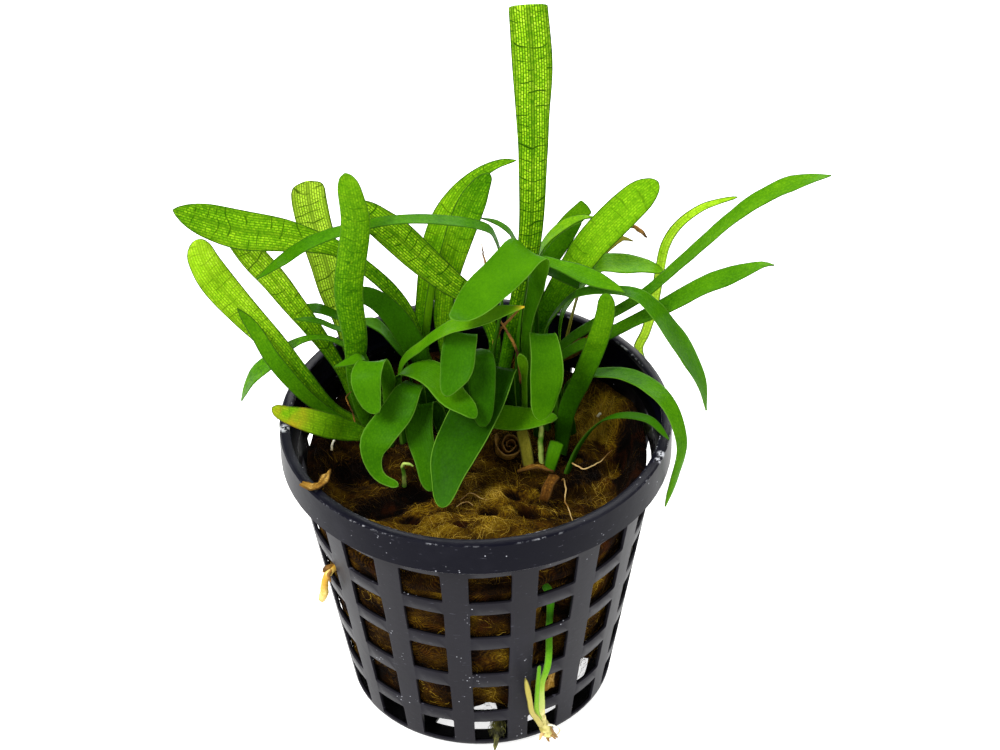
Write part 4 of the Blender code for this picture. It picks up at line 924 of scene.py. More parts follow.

# name, blade, tones from base to tip (the leaf's colour together with painted light and shade), share of the
# net of veins (one, or several along the leaf), tip,
# directions of its width, and the route: x, y, height (None: from the wool), width
leaves = [
    ("leaf_left_1", green, (0.45, 0.5, 0.72, 0.78), (0.9, 1.0, 1.0, 0.5), "round",
     [(0.9, 0.3, 0.1), (1, 0, 0), (1, 0, 0)],
     [(-14.5, 9, None, 1.3), (-16, 8, 41, 2), (-17, 7, 47.5, 2), (-16.5, 6.5, 54.5, 3.3),
      (-17, 5.5, 64.5, 4), (-15.5, 4.5, 76.5, 4), (-16, 4, 82, 3.3), (-16.5, 4, 85, 1.1)]),
    ("leaf_left_2", light, (0.3, 0.45, 0.6, 0.65, 0.6), 0.75, "ogive",
     [(0.9, 0.3, 0.3), (0.7, 0.4, 0.5), (0.3, 0.6, 0.8), (0.2, 0.6, 0.8), (0.4, 0.6, 0.7)],
     [(-3, 11.5, None, 1.4), (-7.5, 11.5, 50, 1.4), (-9, 11, 56, 1.8), (-12, 10.5, 61.5, 2),
      (-18, 10, 68, 2.2), (-22, 10, 69.8, 3.3), (-26, 9.5, 71.3, 4.6), (-31.5, 9, 72.7, 5.4),
      (-36.5, 8.5, 75, 4.6), (-40.3, 8, 77, 1.3)]),
    ("leaf_left_3", light, (0.38, 0.56, 0.82, 0.82), 0.8, "round", [(0.8, 0.4, 0.4)],
     [(-15.8, 11, None, 1.5), (-18.7, 11, 45.5, 1.6), (-21.1, 11, 51, 2.2), (-25.6, 10.8, 59.3, 3.3),
      (-27.7, 10.8, 63, 3.6), (-30.2, 11.2, 66.4, 3.7), (-32.7, 12.3, 70, 3.3), (-34, 13, 72, 1.4)]),
    ("leaf_left_4", light, (0.9, 1.0, 1.1, 1.05), 0.85, "blunt", [(0.9, 0.3, 0.3), (1, 0.2, 0.1)],
     [(-13.5, 13.8, None, 1.5), (-17.1, 14.5, 45, 2), (-18.4, 15, 52.3, 3.1), (-19.6, 15, 57.3, 4),
      (-20.4, 15, 62.3, 4.5), (-21.7, 15, 69, 4.8), (-22.2, 15, 73, 4.9), (-22.3, 15, 76.2, 4.7)]),
    ("leaf_left_5", light, (0.45, 0.55, 0.8, 0.8), (0.7, 0.8, 0.6, 0.35), "round",
     [(0.6, 0.5, 0.6), (0.7, 0.5, 0.5), (0.8, 0.4, 0.5), (0.9, 0.3, 0.3)],
     [(-16, 9.5, 37, 1.2), (-17.5, 8.5, 39, 1.4), (-20.5, 7.5, 42, 2), (-23.6, 6.5, 47.5, 2.7),
      (-27.6, 7, 54, 3.3), (-31.7, 7.5, 59.5, 4.2), (-35.1, 6.6, 65.8, 4.7), (-36.7, 5.8, 70.4, 4.1),
      (-37.1, 4.9, 74.2, 1.4)]),
    ("leaf_left_6", green, (0.5, 0.55, 0.6), 0.35, "point", [(0.6, 0.5, 0.6), (0.8, 0.4, 0.5)],
     [(-15.5, 7, 37, 1.2), (-17.5, 6.5, 39, 1.3), (-21.5, 5.5, 43.5, 1.6), (-24.5, 4.7, 47.7, 2),
      (-28, 4.9, 53.2, 2.2), (-30.5, 6, 58, 1.8), (-32.5, 6, 61.5, 0.6)]),
    ("leaf_left_7", light, (0.3, 0.4, 0.45), 0.4, "round", [(0, 1, 0)],
     [(-13.2, 12, None, 1.2), (-17.5, 9.5, 51, 1.4), (-20, 8.8, 53.6, 1.3), (-22.5, 8.5, 54.2, 1.3),
      (-25, 9.2, 52.8, 2), (-28.3, 10, 49.5, 4), (-31.4, 9.5, 47, 4.7), (-33, 9.5, 44, 3.8),
      (-33.4, 9.5, 42.5, 1.1)]),
    ("leaf_left_8", green, (0.3, 0.45, 0.5), 0.2, "point", [(0, 1, 0)],
     [(-12, 11, None, 1), (-17, 9, 54, 1.3), (-19.5, 9, 55.5, 1.2), (-22, 8.8, 57, 1.3),
      (-25, 8.5, 57.5, 0.8)]),
    ("leaf_left_9", green, (0.3, 0.4, 0.45), 0.2, "point", [(0, 1, 0)],
     [(-12, 13, None, 1), (-17.5, 12.1, 53.5, 1.6), (-21.1, 12.9, 55.7, 2.2), (-24.1, 14, 55.4, 2.2),
      (-25.6, 14.2, 55.2, 1)]),
    ("leaf_left_10", light, (0.35, 0.45, 0.6, 0.75), 0.3, "round",
     [(0.9, 0.3, 0.3), (0.4, 0.6, 0.7), (0.3, 0.6, 0.7), (0.5, 0.6, 0.7)],
     [(-15, 5, None, 1.6), (-15.5, 3, 40.5, 2), (-18.5, 1.5, 43, 3.1), (-20.5, 0, 45, 3.5),
      (-23.5, -1.5, 47.5, 3.3), (-26.5, -2.5, 49.5, 2.2), (-28, -3, 51, 0.7)]),
    ("leaf_left_11", green, (0.3, 0.5, 0.55), 0.1, "point", [(0.6, -0.8, -0.1), (0.4, -0.9, 0)],
     [(-13.2, 10, None, 1.2), (-14.4, 6.2, 49.4, 1.2), (-15.6, 4.5, 53.7, 1.8), (-17, 3.5, 53.8, 2.5),
      (-19.5, 2.5, 53.5, 0.8)]),
    ("leaf_left_12", green, (0.3, 0.42, 0.5, 0.48), 0.15, "round",
     [(1, -0.2, 0), (0.9, -0.4, 0.1), (0.9, 0, 0.4)],
     [(-12.5, 6.5, None, 1.4), (-12.3, 5.3, 45.4, 1.5), (-12.3, 3.6, 50.8, 2.6), (-14, 2, 55, 4.2),
      (-15, -0.5, 54, 4.5), (-14.5, -2, 51, 3.4), (-13.5, -3, 49.5, 1)]),
    ("leaf_left_13", green, (0.28, 0.33, 0.42, 0.46), 0.2, "round",
     [(1, -0.2, 0.1), (0.9, -0.4, -0.2), (1, -0.1, 0.1), (0.5, 0.8, 0.4)],
     [(-7.5, 8.5, None, 1.5), (-8, 6, 46.8, 2.2), (-9, 2, 50, 3.4), (-11, -0.5, 47.5, 4.6),
      (-14, -3.5, 45, 4.3), (-14.5, -5, 43, 2.8), (-13.5, -6.5, 41, 1.6), (-11, -8, 40.5, 1)]),
    ("leaf_left_14", green, (0.3, 0.46, 0.54, 0.48), 0.15, "round", [(0.6, 0.7, 0.2), (0.6, 0.8, 0)],
     [(-10.3, 7, None, 1.4), (-10.7, 6.8, 43.8, 1.4), (-10.6, 5.7, 49.5, 1.9), (-7.7, 3.9, 51.8, 4.2),
      (-5, 1.3, 52, 4.8), (-3.2, -1.7, 51.2, 4.5), (-1, -3.8, 50.5, 3.4), (0, -4.8, 49.7, 1.4)]),
    ("leaf_left_15", green, (0.3, 0.4, 0.5), 0.2, "round", [(0, 1, 0)],
     [(-8, 10.8, None, 1.3), (-9.6, 10.3, 48, 1.6), (-11.6, 9.2, 53, 2.6), (-13.2, 8.7, 55.8, 2.9),
      (-15.5, 8.5, 57, 1.9)]),
    ("leaf_left_16", green, (0.25, 0.3, 0.4), 0.2, "round",
     [(0.9, 0.2, 0.3), (0.9, 0.3, 0.4), (0.4, 0.6, 0.7)],
     [(-5, 10, None, 1.4), (-7.5, 9, 49.2, 2.5), (-9, 8.8, 53.3, 3.5), (-11, 8.5, 57.6, 3.3),
      (-13.5, 8.2, 60.8, 2.8), (-16.5, 8.2, 62.3, 1.4)]),
    ("leaf_middle_1", light, (0.2, 0.5, 0.68, 0.75, 0.75), 1.0, "cut", [(1, -0.1, -0.1), (1, 0, 0)],
     [(3, 16, None, 1.6), (5.5, 14, 50.5, 2), (8.1, 12.8, 66.5, 3.2), (8.7, 11.8, 82, 4),
      (8.7, 11.3, 88.5, 4.5), (8.7, 10.8, 97, 5.4), (8.2, 10.3, 106.6, 5)]),
    ("leaf_middle_2", green, (0.3, 0.4, 0.55, 0.5), 0.12, "round", [(0.65, -0.75, 0)],
     [(8, 11.5, None, 1.6), (7.5, 9.5, 54, 1.9), (9, 8.5, 64, 3.6), (8, 6, 70.5, 6.4), (4, 1.5, 69.5, 6.8),
      (1, -1, 68, 6.4), (-1.5, -3, 66.5, 4.9), (-3, -4, 66.5, 1.6)]),
    ("leaf_middle_3", green, (0.36, 0.62, 0.68, 0.72), 0.15, "point",
     [(0.7, -0.7, -0.1), (0.2, -0.9, -0.4), (-0.2, -1, -0.2), (0, -1, -0.1)],
     [(-10, 9, None, 1.4), (-10.5, 8.6, 48, 1.3), (-7, 4, 56, 1.9), (-3, 0.8, 61.5, 2.8),
      (1, -0.7, 64, 3.5), (4.5, -1.2, 65.5, 3), (7, -1.2, 66, 1.1)]),
    ("leaf_middle_4", green, (0.2, 0.16, 0.18, 0.36), 0.2, "round", [(0.9, -0.4, 0)],
     [(5.5, 10.3, None, 1.6), (4, 7, 48, 3.6), (3.5, 5, 51, 5.2), (1.5, 2, 49, 6.6), (-1, -1.5, 46, 7),
      (-3.5, -5.5, 43, 6.2), (-4.5, -8.5, 40.5, 3.9), (-5, -10.5, 38.5, 1.3)]),
    ("leaf_middle_5", green, (0.25, 0.25, 0.3), 0.15, "round", [(1, 0, 0)],
     [(-2, 6, None, 1.4), (-2.2, 5.2, 48, 1.6), (-1, 4.8, 54, 2.4), (1, 2, 55, 3.4), (1, 0.3, 52, 3.8),
      (1, -1.8, 49.3, 3.2), (1, -3.3, 46.8, 1.2)]),
    ("leaf_middle_6", green, (0.27, 0.35, 0.38), 0.15, "round", [(1, -0.2, -0.1)],
     [(-1.5, 9, None, 1.6), (-2, 6.6, 52, 2.4), (-1.5, 2.5, 59.2, 4.2), (-2, 1, 57.7, 4.7),
      (-2.5, -1, 55.3, 4.6), (-3.5, -2.5, 53.7, 3.2), (-4, -3.7, 52.8, 1.2)]),
    ("leaf_middle_7", green, (0.25, 0.32, 0.42), 0.15, "round",
     [(0.9, -0.1, 0.4), (1, 0, 0), (1, 0.2, 0.1)],
     [(-4, 6, None, 1.5), (-5.5, 4.5, 43.5, 2.4), (-7.5, 3.2, 46, 3.6), (-8, 0, 44, 3.9), (-7, -4, 41, 3.1),
      (-6.5, -7, 38.5, 1.2)]),
    ("leaf_middle_8", green, (0.5, 0.65, 0.6), 0.2, "round", [(0.3, 0.9, 0), (0.3, 0.9, 0.4), (0.1, 1, 0)],
     [(0.5, 7, 36.9, 1.4), (2, 4, 42.5, 3.6), (6.5, 3, 43, 4.1), (10, 2.5, 43.5, 3.2),
      (11.5, 2.5, 43.5, 1.1)]),
    ("leaf_middle_9", green, (0.5, 0.65, 0.68), 0.1, "round", [(1, 0, 0)],
     [(7, 7.5, None, 0.8), (7, 6, 47.5, 0.8), (7, 5.5, 49, 0.9), (6.8, 5, 51.5, 1.5), (6.4, 5, 53, 0.7)]),
    ("leaf_middle_10", light, (0.25, 0.4, 0.68, 0.7), 0.9, "round",
     [(1, -0.1, -0.2), (0.8, 0.3, 0.5), (0.7, 0.4, 0.6)],
     [(0, 11.8, None, 1.4), (3, 10.5, 50.5, 1.7), (0.5, 10.5, 58, 2.5), (-3, 10, 62, 3.6),
      (-7, 9.5, 66.8, 4.4), (-10.5, 9.5, 71, 4.6), (-13.5, 9.5, 74, 3.8), (-15.5, 9.5, 76.3, 1.4)]),
    ("leaf_middle_11", green, (0.3, 0.3, 0.45, 0.5, 0.5), 0.3, "point", [(0, 1, 0)],
     [(1.5, 10.3, None, 1.4), (2.5, 9, 49, 1.4), (4, 8, 60.5, 1.6), (4, 8, 68, 1.6), (3.5, 8, 70.5, 1.8),
      (2.5, 8, 72.5, 2.1), (-1.5, 7.5, 74.2, 2.3), (-9.5, 7, 75.2, 2.2), (-17.5, 6.8, 73.7, 2.5),
      (-22, 6, 72.4, 3.2), (-26, 6, 69.5, 3.5), (-29.5, 6, 66.5, 0.9)]),
    ("leaf_middle_12", faded, (0.55, 0.52), 0.2, "cut", [(1, 0.1, 0.1)],
     [(7.5, 1, None, 1.6), (7, 2, 38.5, 1.7), (6.5, 3.5, 40.5, 1.4)]),
    ("leaf_right_1", green, (0.27, 0.44, 0.54, 0.62), 0.2, "point",
     [(0.7, -0.7, -0.1), (0.4, -0.9, -0.3), (-0.4, -0.9, -0.2), (-0.3, -0.9, -0.2)],
     [(6.3, 13, None, 1.3), (6.5, 12.2, 52, 1.2), (9, 11.3, 64.4, 1.4), (12, 9.5, 65, 2),
      (15, 7.5, 65, 2.9), (17.5, 6, 64.7, 2.9), (20, 5, 64, 2.2), (21, 4.5, 63.5, 0.6)]),
    ("leaf_right_2", green, (0.2, 0.15, 0.15), 0.1, "cut",
     [(0.7, -0.7, 0), (0.5, -0.9, -0.2), (-0.2, -1, -0.2)],
     [(8.7, 13, None, 1.2), (9, 12.3, 52, 1.1), (9, 12, 60, 1.2), (9.2, 11.8, 62.3, 1.4),
      (10.5, 11, 63.2, 2), (12.5, 10.3, 62.5, 2.2), (15, 10.3, 61, 1.6)]),
    ("leaf_right_3", green, (0.2, 0.3, 0.45, 0.5), 0.2, "point",
     [(0.3, 0.9, 0), (0.2, 1, 0), (0.4, 0.9, -0.2)],
     [(10.5, 9.6, None, 1.5), (10, 9.3, 53, 1.6), (12, 8.5, 58.3, 1.6), (15, 8, 61.3, 2),
      (21, 6.5, 62.5, 2.4), (24, 5.5, 61.5, 3.6), (27.3, 4, 57.5, 5.2), (30.3, 2.5, 53, 5.3),
      (31.8, 1, 49.5, 4.6), (32.3, 0, 46.1, 1.3)]),
    ("leaf_right_4", green, (0.43, 0.45, 0.58, 0.68), 0.35, "point", [(-0.1, 1, 0)],
     [(12, 10.8, None, 1.5), (11.5, 10.6, 48.3, 1.8), (13.5, 10.5, 51, 2.2), (17, 10.5, 53.8, 2.2),
      (23.5, 11, 58, 2.4), (29, 11.3, 63.5, 2.7), (37, 11.5, 71.8, 3.3), (42.5, 12, 75.3, 3.6),
      (47, 12, 76.8, 3), (49.5, 12.5, 76.8, 0.9)]),
    ("leaf_right_5", green, (0.4, 0.47, 0.52, 0.62), 0.35, "point", [(-0.1, 1, 0)],
     [(12, 7, None, 1.5), (11.8, 7, 50, 1.8), (14, 7.3, 52, 2.2), (19, 7.6, 54.3, 2.7),
      (23.5, 8.3, 56.4, 2.8), (27.5, 9, 58.2, 3.8), (31.5, 9, 60.8, 4.1), (37, 9, 63.3, 3.9),
      (40.5, 9.5, 64.2, 2.3), (42, 9.5, 64, 0.7)]),
    ("leaf_right_6", light, (0.25, 0.3, 0.6, 0.62), 0.42, "round",
     [(1, 0, 0), (0.8, -0.4, -0.4), (0.6, -0.5, -0.6)],
     [(10.5, 14, None, 1.6), (9.5, 14, 50.5, 2.3), (11.5, 14.2, 55.5, 3.4), (14.2, 14.3, 60.5, 4.2),
      (16.8, 14.3, 65, 4.7), (20.5, 14.5, 69.5, 4.9), (23.6, 14.8, 72.7, 4.4), (26, 15, 74.7, 1.7)]),
    ("leaf_right_7", green, (0.3, 0.4, 0.45, 0.55), 0.15, "round",
     [(1, 0, -0.1), (0.95, 0.1, -0.3), (1, 0, -0.1), (1, 0, 0)],
     [(9, 8, None, 1.5), (9.5, 6.5, 51.5, 1.7), (9.5, 4, 57.5, 3.6), (10, 1.5, 55.5, 4.3),
      (10, 0.5, 52, 4.6), (9.5, 0, 48.5, 3.6), (9, -0.5, 45.5, 1.1)]),
    ("leaf_right_8", green, (0.3, 0.4, 0.6, 0.65), 0.35, "round", [(0.9, -0.3, -0.3), (1, -0.1, -0.1)],
     [(12, 4.8, None, 1.6), (13, 5.2, 42.5, 2.5), (15, 5.2, 48, 2.8), (17, 5.2, 54, 3),
      (18.3, 4.7, 59.9, 2.7), (18.4, 4.2, 63.9, 0.8)]),
    ("leaf_right_9", green, (0.45, 0.55), 0.1, "cut", [(0.9, -0.3, -0.3)],
     [(10, 0.5, None, 1.4), (11, 1.5, 38, 2), (11.5, 2.5, 39, 2)]),
    ("leaf_right_10", green, (0.25, 0.3, 0.35), 0.1, "point", [(0.5, 0.8, -0.2), (0.7, 0.7, 0)],
     [(12.5, 1, None, 1.2), (14.5, 0.5, 40, 1.4), (17.5, -1, 45.5, 1.7), (20.5, -3.5, 48.5, 2),
      (24, -6, 49.5, 1.5), (26.5, -8.5, 48, 0.6)]),
    ("leaf_right_11", green, (0.25, 0.45, 0.55, 0.65), 0.3, "point",
     [(0.7, 0.7, 0), (0.6, 0.8, -0.1), (0.7, 0.7, -0.2)],
     [(14, 9.5, None, 1.5), (13.2, 9, 43.5, 1.8), (14.5, 8.5, 46.2, 2.4), (17.5, 7, 47.8, 3),
      (21.6, 3.5, 50, 3.2), (25.4, -1.5, 50.7, 3.1), (27.4, -5, 49.5, 2.7), (28.4, -7, 45.5, 2.4),
      (27.4, -7.5, 40, 1.9), (26.2, -8, 35.5, 0.8)]),
    ("leaf_right_12", green, (0.45, 0.65, 0.7), 0.3, "round", [(0, 1, 0)],
     [(12.5, 14.5, None, 1.2), (12.5, 15.5, 51, 1.8), (16, 16, 57.5, 2.8), (18, 16, 60.2, 4),
      (21, 16, 60.2, 4.8), (24.5, 16, 59.7, 3.5), (27, 15.5, 59, 0.8)]),
    ("leaf_back_1", light, (0.95, 1.05, 1.05, 0.85, 0.8), 0.35, "point",
     [(0.4, -0.8, 0.3), (0.9, -0.2, -0.2), (0.9, -0.3, -0.3), (0.1, -0.6, -0.8)],
     [(19, 9, 34, 1.2), (20.8, 10, 34.5, 1.2), (23.5, 12, 35.5, 1.2), (25.5, 15, 39, 1.3),
      (23.8, 17.5, 43.4, 1.4), (24.8, 18, 46.1, 1.4), (25.8, 18.5, 49.7, 1.4), (26.4, 18.5, 53.8, 1.4),
      (26.8, 18.5, 57.4, 1.4), (27.5, 17.8, 62.1, 1.4), (29.2, 17, 66, 1.3), (32.1, 16, 69.4, 1.1),
      (34.7, 15.3, 71, 0.8), (37.1, 14.5, 72.2, 0.4)]),
    ("leaf_back_2", green, (0.55, 0.7), 0.1, "cut", [(1, 0, 0)],
     [(-7.5, 13, None, 1), (-6.8, 12.6, 50.4, 1.1), (-6.3, 12.1, 55.4, 1.2), (-5.8, 11.8, 58.9, 1.1),
      (-5.5, 11.7, 60.8, 0.7)]),
    ("leaf_back_3", light, (0.3, 0.6, 0.7, 0.6), 0.6, "point",
     [(1, 0.1, 0.1), (1, 0, -0.1), (0.3, -0.5, -0.8)],
     [(-6.8, 16.4, None, 1.5), (-7.5, 15.2, 50.8, 1.7), (-7, 15.4, 55.8, 2), (-6.3, 15.6, 60.2, 2.5),
      (-5.4, 15.8, 64, 3.2), (-4.1, 16, 67.8, 3.5), (-2.8, 16.2, 70.7, 3.1), (-0.9, 16.4, 73.7, 2.2),
      (1.8, 16.8, 75.9, 1.7), (4.3, 17.2, 77, 1.1), (6.6, 17.5, 77.2, 0.6)]),
    ("leaf_back_4", light, (0.25, 0.6, 0.65, 0.4), 0.6, "round", [(1, 0.1, 0.1), (0.9, -0.2, -0.3)],
     [(-2.2, 14, None, 1.5), (-4.3, 13.2, 52.2, 2.4), (-4, 13, 56.8, 2.8), (-3.2, 13, 61.7, 3.4),
      (-2, 13, 66.5, 3.9), (-0.6, 13.2, 70.9, 4.1), (0.6, 13.4, 73.9, 3.7), (1.8, 13.5, 76.3, 2.5),
      (2.8, 13.6, 77.7, 1)]),
    ("leaf_back_5", green, (0.4, 0.62, 0.7), 0.3, "cut", [(1, -0.1, -0.1), (0.7, -0.5, -0.6)],
     [(7.5, 17.8, None, 1.3), (10, 21, 55.5, 1.8), (12, 21.8, 60.3, 2.3), (14, 22, 63.2, 2.5),
      (16.5, 22, 66, 1.4)]),
    ("leaf_back_6", green, (0.4, 0.7, 0.8), 0.4, "point", [(0, 1, 0)],
     [(5.5, 17.5, None, 1.2), (9, 19.3, 58, 1.8), (10.5, 19.3, 62, 2.4), (13, 19.3, 64.6, 2.6),
      (15.5, 19.5, 65.8, 1.9), (17.5, 19.5, 65.8, 1)]),
    ("leaf_back_7", green, (0.3, 0.42, 0.52), 0.3, "point", [(1, -0.1, -0.1), (0.6, -0.5, -0.6)],
     [(8, 16, None, 1.3), (9.5, 16.5, 58.3, 2), (11.5, 16.6, 61.6, 2.5), (13.5, 16.8, 64.4, 2),
      (15.5, 16.8, 66.8, 0.7)]),
    ("leaf_back_8", green, (0.3, 0.4, 0.5), 0.2, "point", [(0, 1, 0)],
     [(6, 15.7, None, 1), (6.9, 15, 62.3, 1.7), (5.7, 14.8, 66.6, 1.8), (4.1, 14.8, 68.4, 1.4),
      (2.7, 14.8, 69.1, 1), (1.5, 14.8, 69.5, 0.4)]),
    ("leaf_back_9", faded, (0.4, 0.5, 0.4), 0.2, "point", [(0, 1, 0)],
     [(11, 16, None, 1), (16, 19.5, 55.7, 1.6), (19, 20, 59.5, 1.9), (21.5, 20.2, 61.5, 1.7),
      (23, 20.3, 60.9, 0.8)]),
    ("runner_leaf_main", young, (0.95, 0.75, 0.45, 0.3, 0.2, 0.2, 0.15), 0.1, "point", [(0.9, 0.4, 0)],
     [(8.1, -19.5, 6.9, 1.3), (8.1, -19.8, 9, 1.4), (8.1, -20.1, 11.2, 1.3), (8.3, -20.5, 14.1, 1.2),
      (8.8, -20.9, 16, 1.1), (9.2, -20.8, 17.5, 1.1), (9.4, -20.1, 18.9, 1), (9.5, -18.5, 20.1, 1),
      (9.5, -17.7, 21.5, 1.1), (9.6, -18, 24.2, 1.1), (9.7, -18.6, 27, 1.2), (9.7, -19.1, 29.5, 1.2),
      (9, -19.7, 31.7, 1.2), (8.2, -20.3, 33, 0.7)]),
    ("runner_leaf_small", young, (0.75, 0.5, 0.3), 0.1, "round", [(0.9, 0.4, 0)],
     [(8.3, -19.5, 5.2, 0.8), (7.9, -20.2, 6.8, 0.8), (7.6, -20.9, 8.6, 0.7), (7.6, -21.4, 11.4, 0.7),
      (7.7, -21.7, 13.8, 0.7), (8, -22.1, 18.9, 0.5)]),
    ("runner_leaf_pale", faded, (0.9, 0.85, 0.8), 0.0, "point", [(0.9, 0.4, 0)],
     [(8.2, -19.6, 4.8, 0.9), (7.6, -20.7, 7.2, 0.9), (6.9, -22, 9.7, 0.8), (6.6, -22.5, 12.5, 0.8),
      (6.3, -22.9, 15.1, 0.8), (6, -23.3, 17.7, 0.4)]),
]


# Worn marks: share of the length and its spread, side from -1 to 1 and its spread, strength
leafMarks = {
    "leaf_left_10": (0.87, 0.07, -0.1, 0.9, 1.0),
    "leaf_middle_3": (0.995, 0.012, 0, 2, 0.8),
    "leaf_left_3": (0.985, 0.012, 0, 2, 0.5),
}
# leaves with a pale rim, a painted highlight where light catches the edge, as on the thick ones in front
paleRimHighlights = {
    "leaf_middle_4": 0.9, "leaf_left_13": 0.5, "leaf_left_12": 0.4, "leaf_right_7": 0.8, "leaf_middle_2": 0.5,
    "leaf_left_14": 0.5, "leaf_middle_6": 0.3, "leaf_middle_7": 0.3, "leaf_left_1": 0.3, "leaf_right_3": 0.4,
    "leaf_right_11": 0.4, "leaf_middle_3": 0.4, "leaf_middle_8": 0.4, "leaf_middle_9": 0.9,
}


def lengthsAlong(points):
    # the length of the curve up to each of its points
    lengths = [0]
    for first, second in zip(points, points[1:]):
        lengths.append(lengths[-1] + (second.xyz - first.xyz).length)
    return lengths


def smoothRoute(route):
    # one smooth curve through the route's points, read every tenth of a stretch
    lengths = lengthsAlong(route)
    last = len(route) - 1
    slopes = []
    for i in range(len(route)):
        before, after = max(i - 1, 0), min(i + 1, last)
        slopes.append((route[after] - route[before]) / (lengths[after] - lengths[before]))
    points = []
    for i in range(last):
        span = lengths[i + 1] - lengths[i]
        for step in range(10):
            t = step / 10
            start = (2 * t ** 3 - 3 * t ** 2 + 1) * route[i] + (t ** 3 - 2 * t ** 2 + t) * span * slopes[i]
            end = (3 * t ** 2 - 2 * t ** 3) * route[i + 1] + (t ** 3 - t ** 2) * span * slopes[i + 1]
            points.append(start + end)
    points.append(route[last].copy())
    return points


def evenStations(points, step, leastCount=4):
    # place, direction and share of the length, at equal steps along the curve
    lengths = lengthsAlong(points)
    total = lengths[-1]
    count = max(leastCount, round(total / step) + 1)
    stations = []
    i = 0
    for number in range(count):
        wanted = total * number / (count - 1)
        while i < len(points) - 2 and lengths[i + 1] < wanted:
            i += 1
        share = (wanted - lengths[i]) / (lengths[i + 1] - lengths[i])
        place = points[i].lerp(points[i + 1], min(share, 1))
        before, after = max(i - 2, 0), min(i + 3, len(points) - 1)
        direction = (points[after].xyz - points[before].xyz).normalized()
        stations.append((place, direction, number / (count - 1)))
    return stations, total


def blendList(values, share):
    # value at a share of the length, between the given ones
    if len(values) == 1:
        return values[0]
    spot = share * (len(values) - 1)
    i = min(int(spot), len(values) - 2)
    return values[i] + (values[i + 1] - values[i]) * (spot - i)


def tipShare(tip, left, width):
    # how much of its width a blade keeps at a distance in mm from its tip
    reach, curve, power, leastShare, lastWidth = leafLook["tips"][tip]
    reach *= width
    return max(leastShare, 1 - (1 - left / reach) ** curve) ** power if left < reach else 1


def bladeGrid(columns, rows):
    # a flat grid with the blade's own map, tones and width, which the leaf material reads
    bm = bmesh.new()
    bmesh.ops.create_grid(bm, x_segments=columns, y_segments=rows, size=1, calc_uvs=True)
    bladeMap = bm.loops.layers.uv.new("blade")
    toneLayer = bm.verts.layers.float_color.new("tone")
    return bm, bladeMap, toneLayer, bm.verts.layers.float.new("width")


def addSkin(piece, thickness):
    # the blade's thickness, half to each side
    skin = piece.modifiers.new("skin", "SOLIDIFY")
    skin.thickness, skin.offset, skin.use_even_offset = thickness, 0, False
    return skin


def makeBlade(number, name, blade, tones, net, tip, across, route, crumple=0.0, pieceName=None):
    # one leaf from its base to its tip, on the solid's own route
    look = leafLook
    points = []
    for x, y, height, width in route:
        if height is None:
            height = woolTop(x, y) - look["sink"]
        points.append(Vector((x, y, height, width)))
    points[-1].w = max(points[-1].w, look["tips"][tip][-1] * points[-2].w)
    stations, total = evenStations(smoothRoute(points), look["step"])
    across = [Vector(direction) for direction in across]
    endStep = total / (len(stations) - 1)
    place, direction, share = stations[-1]
    before = stations[-2][0]
    for part in look["tipSteps"]:
        stations.insert(-1, (before.lerp(place, part), direction, 1 - endStep * (1 - part) / total))
    columns = look["across"]
    bm, bladeMap, toneLayer, widthLayer = bladeGrid(columns, len(stations) - 1)
    rows = sorted(bm.verts, key=lambda vert: (round(vert.co.y, 5), vert.co.x))
    spots = {}
    mark = leafMarks.get(name)
    for row, (place, direction, share) in enumerate(stations):
        sideways = blendList(across, share)
        sideways = (sideways - sideways.dot(direction) * direction).normalized()
        faceUp = sideways.cross(direction)
        if faceUp.z < 0:
            faceUp.negate()
        width = place.w * tipShare(tip, total * (1 - share), place.w)
        for column in range(columns + 1):
            part = column / columns
            side = part * 2 - 1
            vert = rows[row * (columns + 1) + column]
            spot = Vector((place.x, place.y, place.z))
            ripple = noise.noise(spot * 0.35 + Vector((number, 3 * side, 0)))
            depth = -look["channel"] * width * (1 - side * side) + ripple * look["wave"] * width * abs(side)
            spread = side
            if crumple:
                depth += crumple * noise.noise(spot * 1.1 + Vector((side * 1.3, number, 4)))
                spread += 0.35 * noise.noise(spot * 0.9 + Vector((side, number, 8)))
            vert.co = (place.xyz + sideways * spread * width / 2 + faceUp * depth) * mm
            worn = 0
            if mark:
                atShare, shareSpread, atSide, sideSpread, strength = mark
                away = ((share - atShare) / shareSpread) ** 2 + ((side - atSide) / sideSpread) ** 2
                worn = strength * math.exp(-0.5 * away)
            netHere = blendList(net, share) if isinstance(net, tuple) else net
            netHere *= min(1, share * 3)
            vert[toneLayer] = (blendList(tones, share), netHere, worn, paleRimHighlights.get(name, 0.1))
            vert[widthLayer] = width
            spots[vert] = (part, share)
    for face in bm.faces:
        for loop in face.loops:
            part, share = spots[loop.vert]
            loop[bladeMap].uv = (part, total * share / 100)
    shares = []
    bm.verts.index_update()
    widths = [station[0].w for station in stations]
    for vert in bm.verts:
        part, share = spots[vert]
        side = abs(part * 2 - 1)
        width = widths[min(len(widths) - 1, round(share * (len(widths) - 1)))]
        base = max(0, 1 - total * share / max(6, total * 0.4))
        thick = look["blade"] + base * (min(look["thickest"], width * mm * look["petiole"]) - look["blade"])
        shares.append(max(0.05, thick / look["thickest"] * (1 - 0.7 * side ** 2)))
    pieceName = pieceName or name + "_blade"
    mesh = closeMesh(bm, pieceName)
    replaced = [name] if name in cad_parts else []
    piece = placePiece(pieceName, mesh, materials[blade], slotOf[blade], *replaced)
    group = piece.vertex_groups.new(name="thickness")
    for index, share in enumerate(shares):
        group.add([index], look["scrapSkin"] if crumple else share, "REPLACE")
    addSkin(piece, look["thickest"]).vertex_group = "thickness"


for number, leaf in enumerate(leaves):
    makeBlade(number, *leaf)
print("leaves ready:", len(leaves))


# Dead leaf curled up in the middle: a strip rolled round, thin and brown

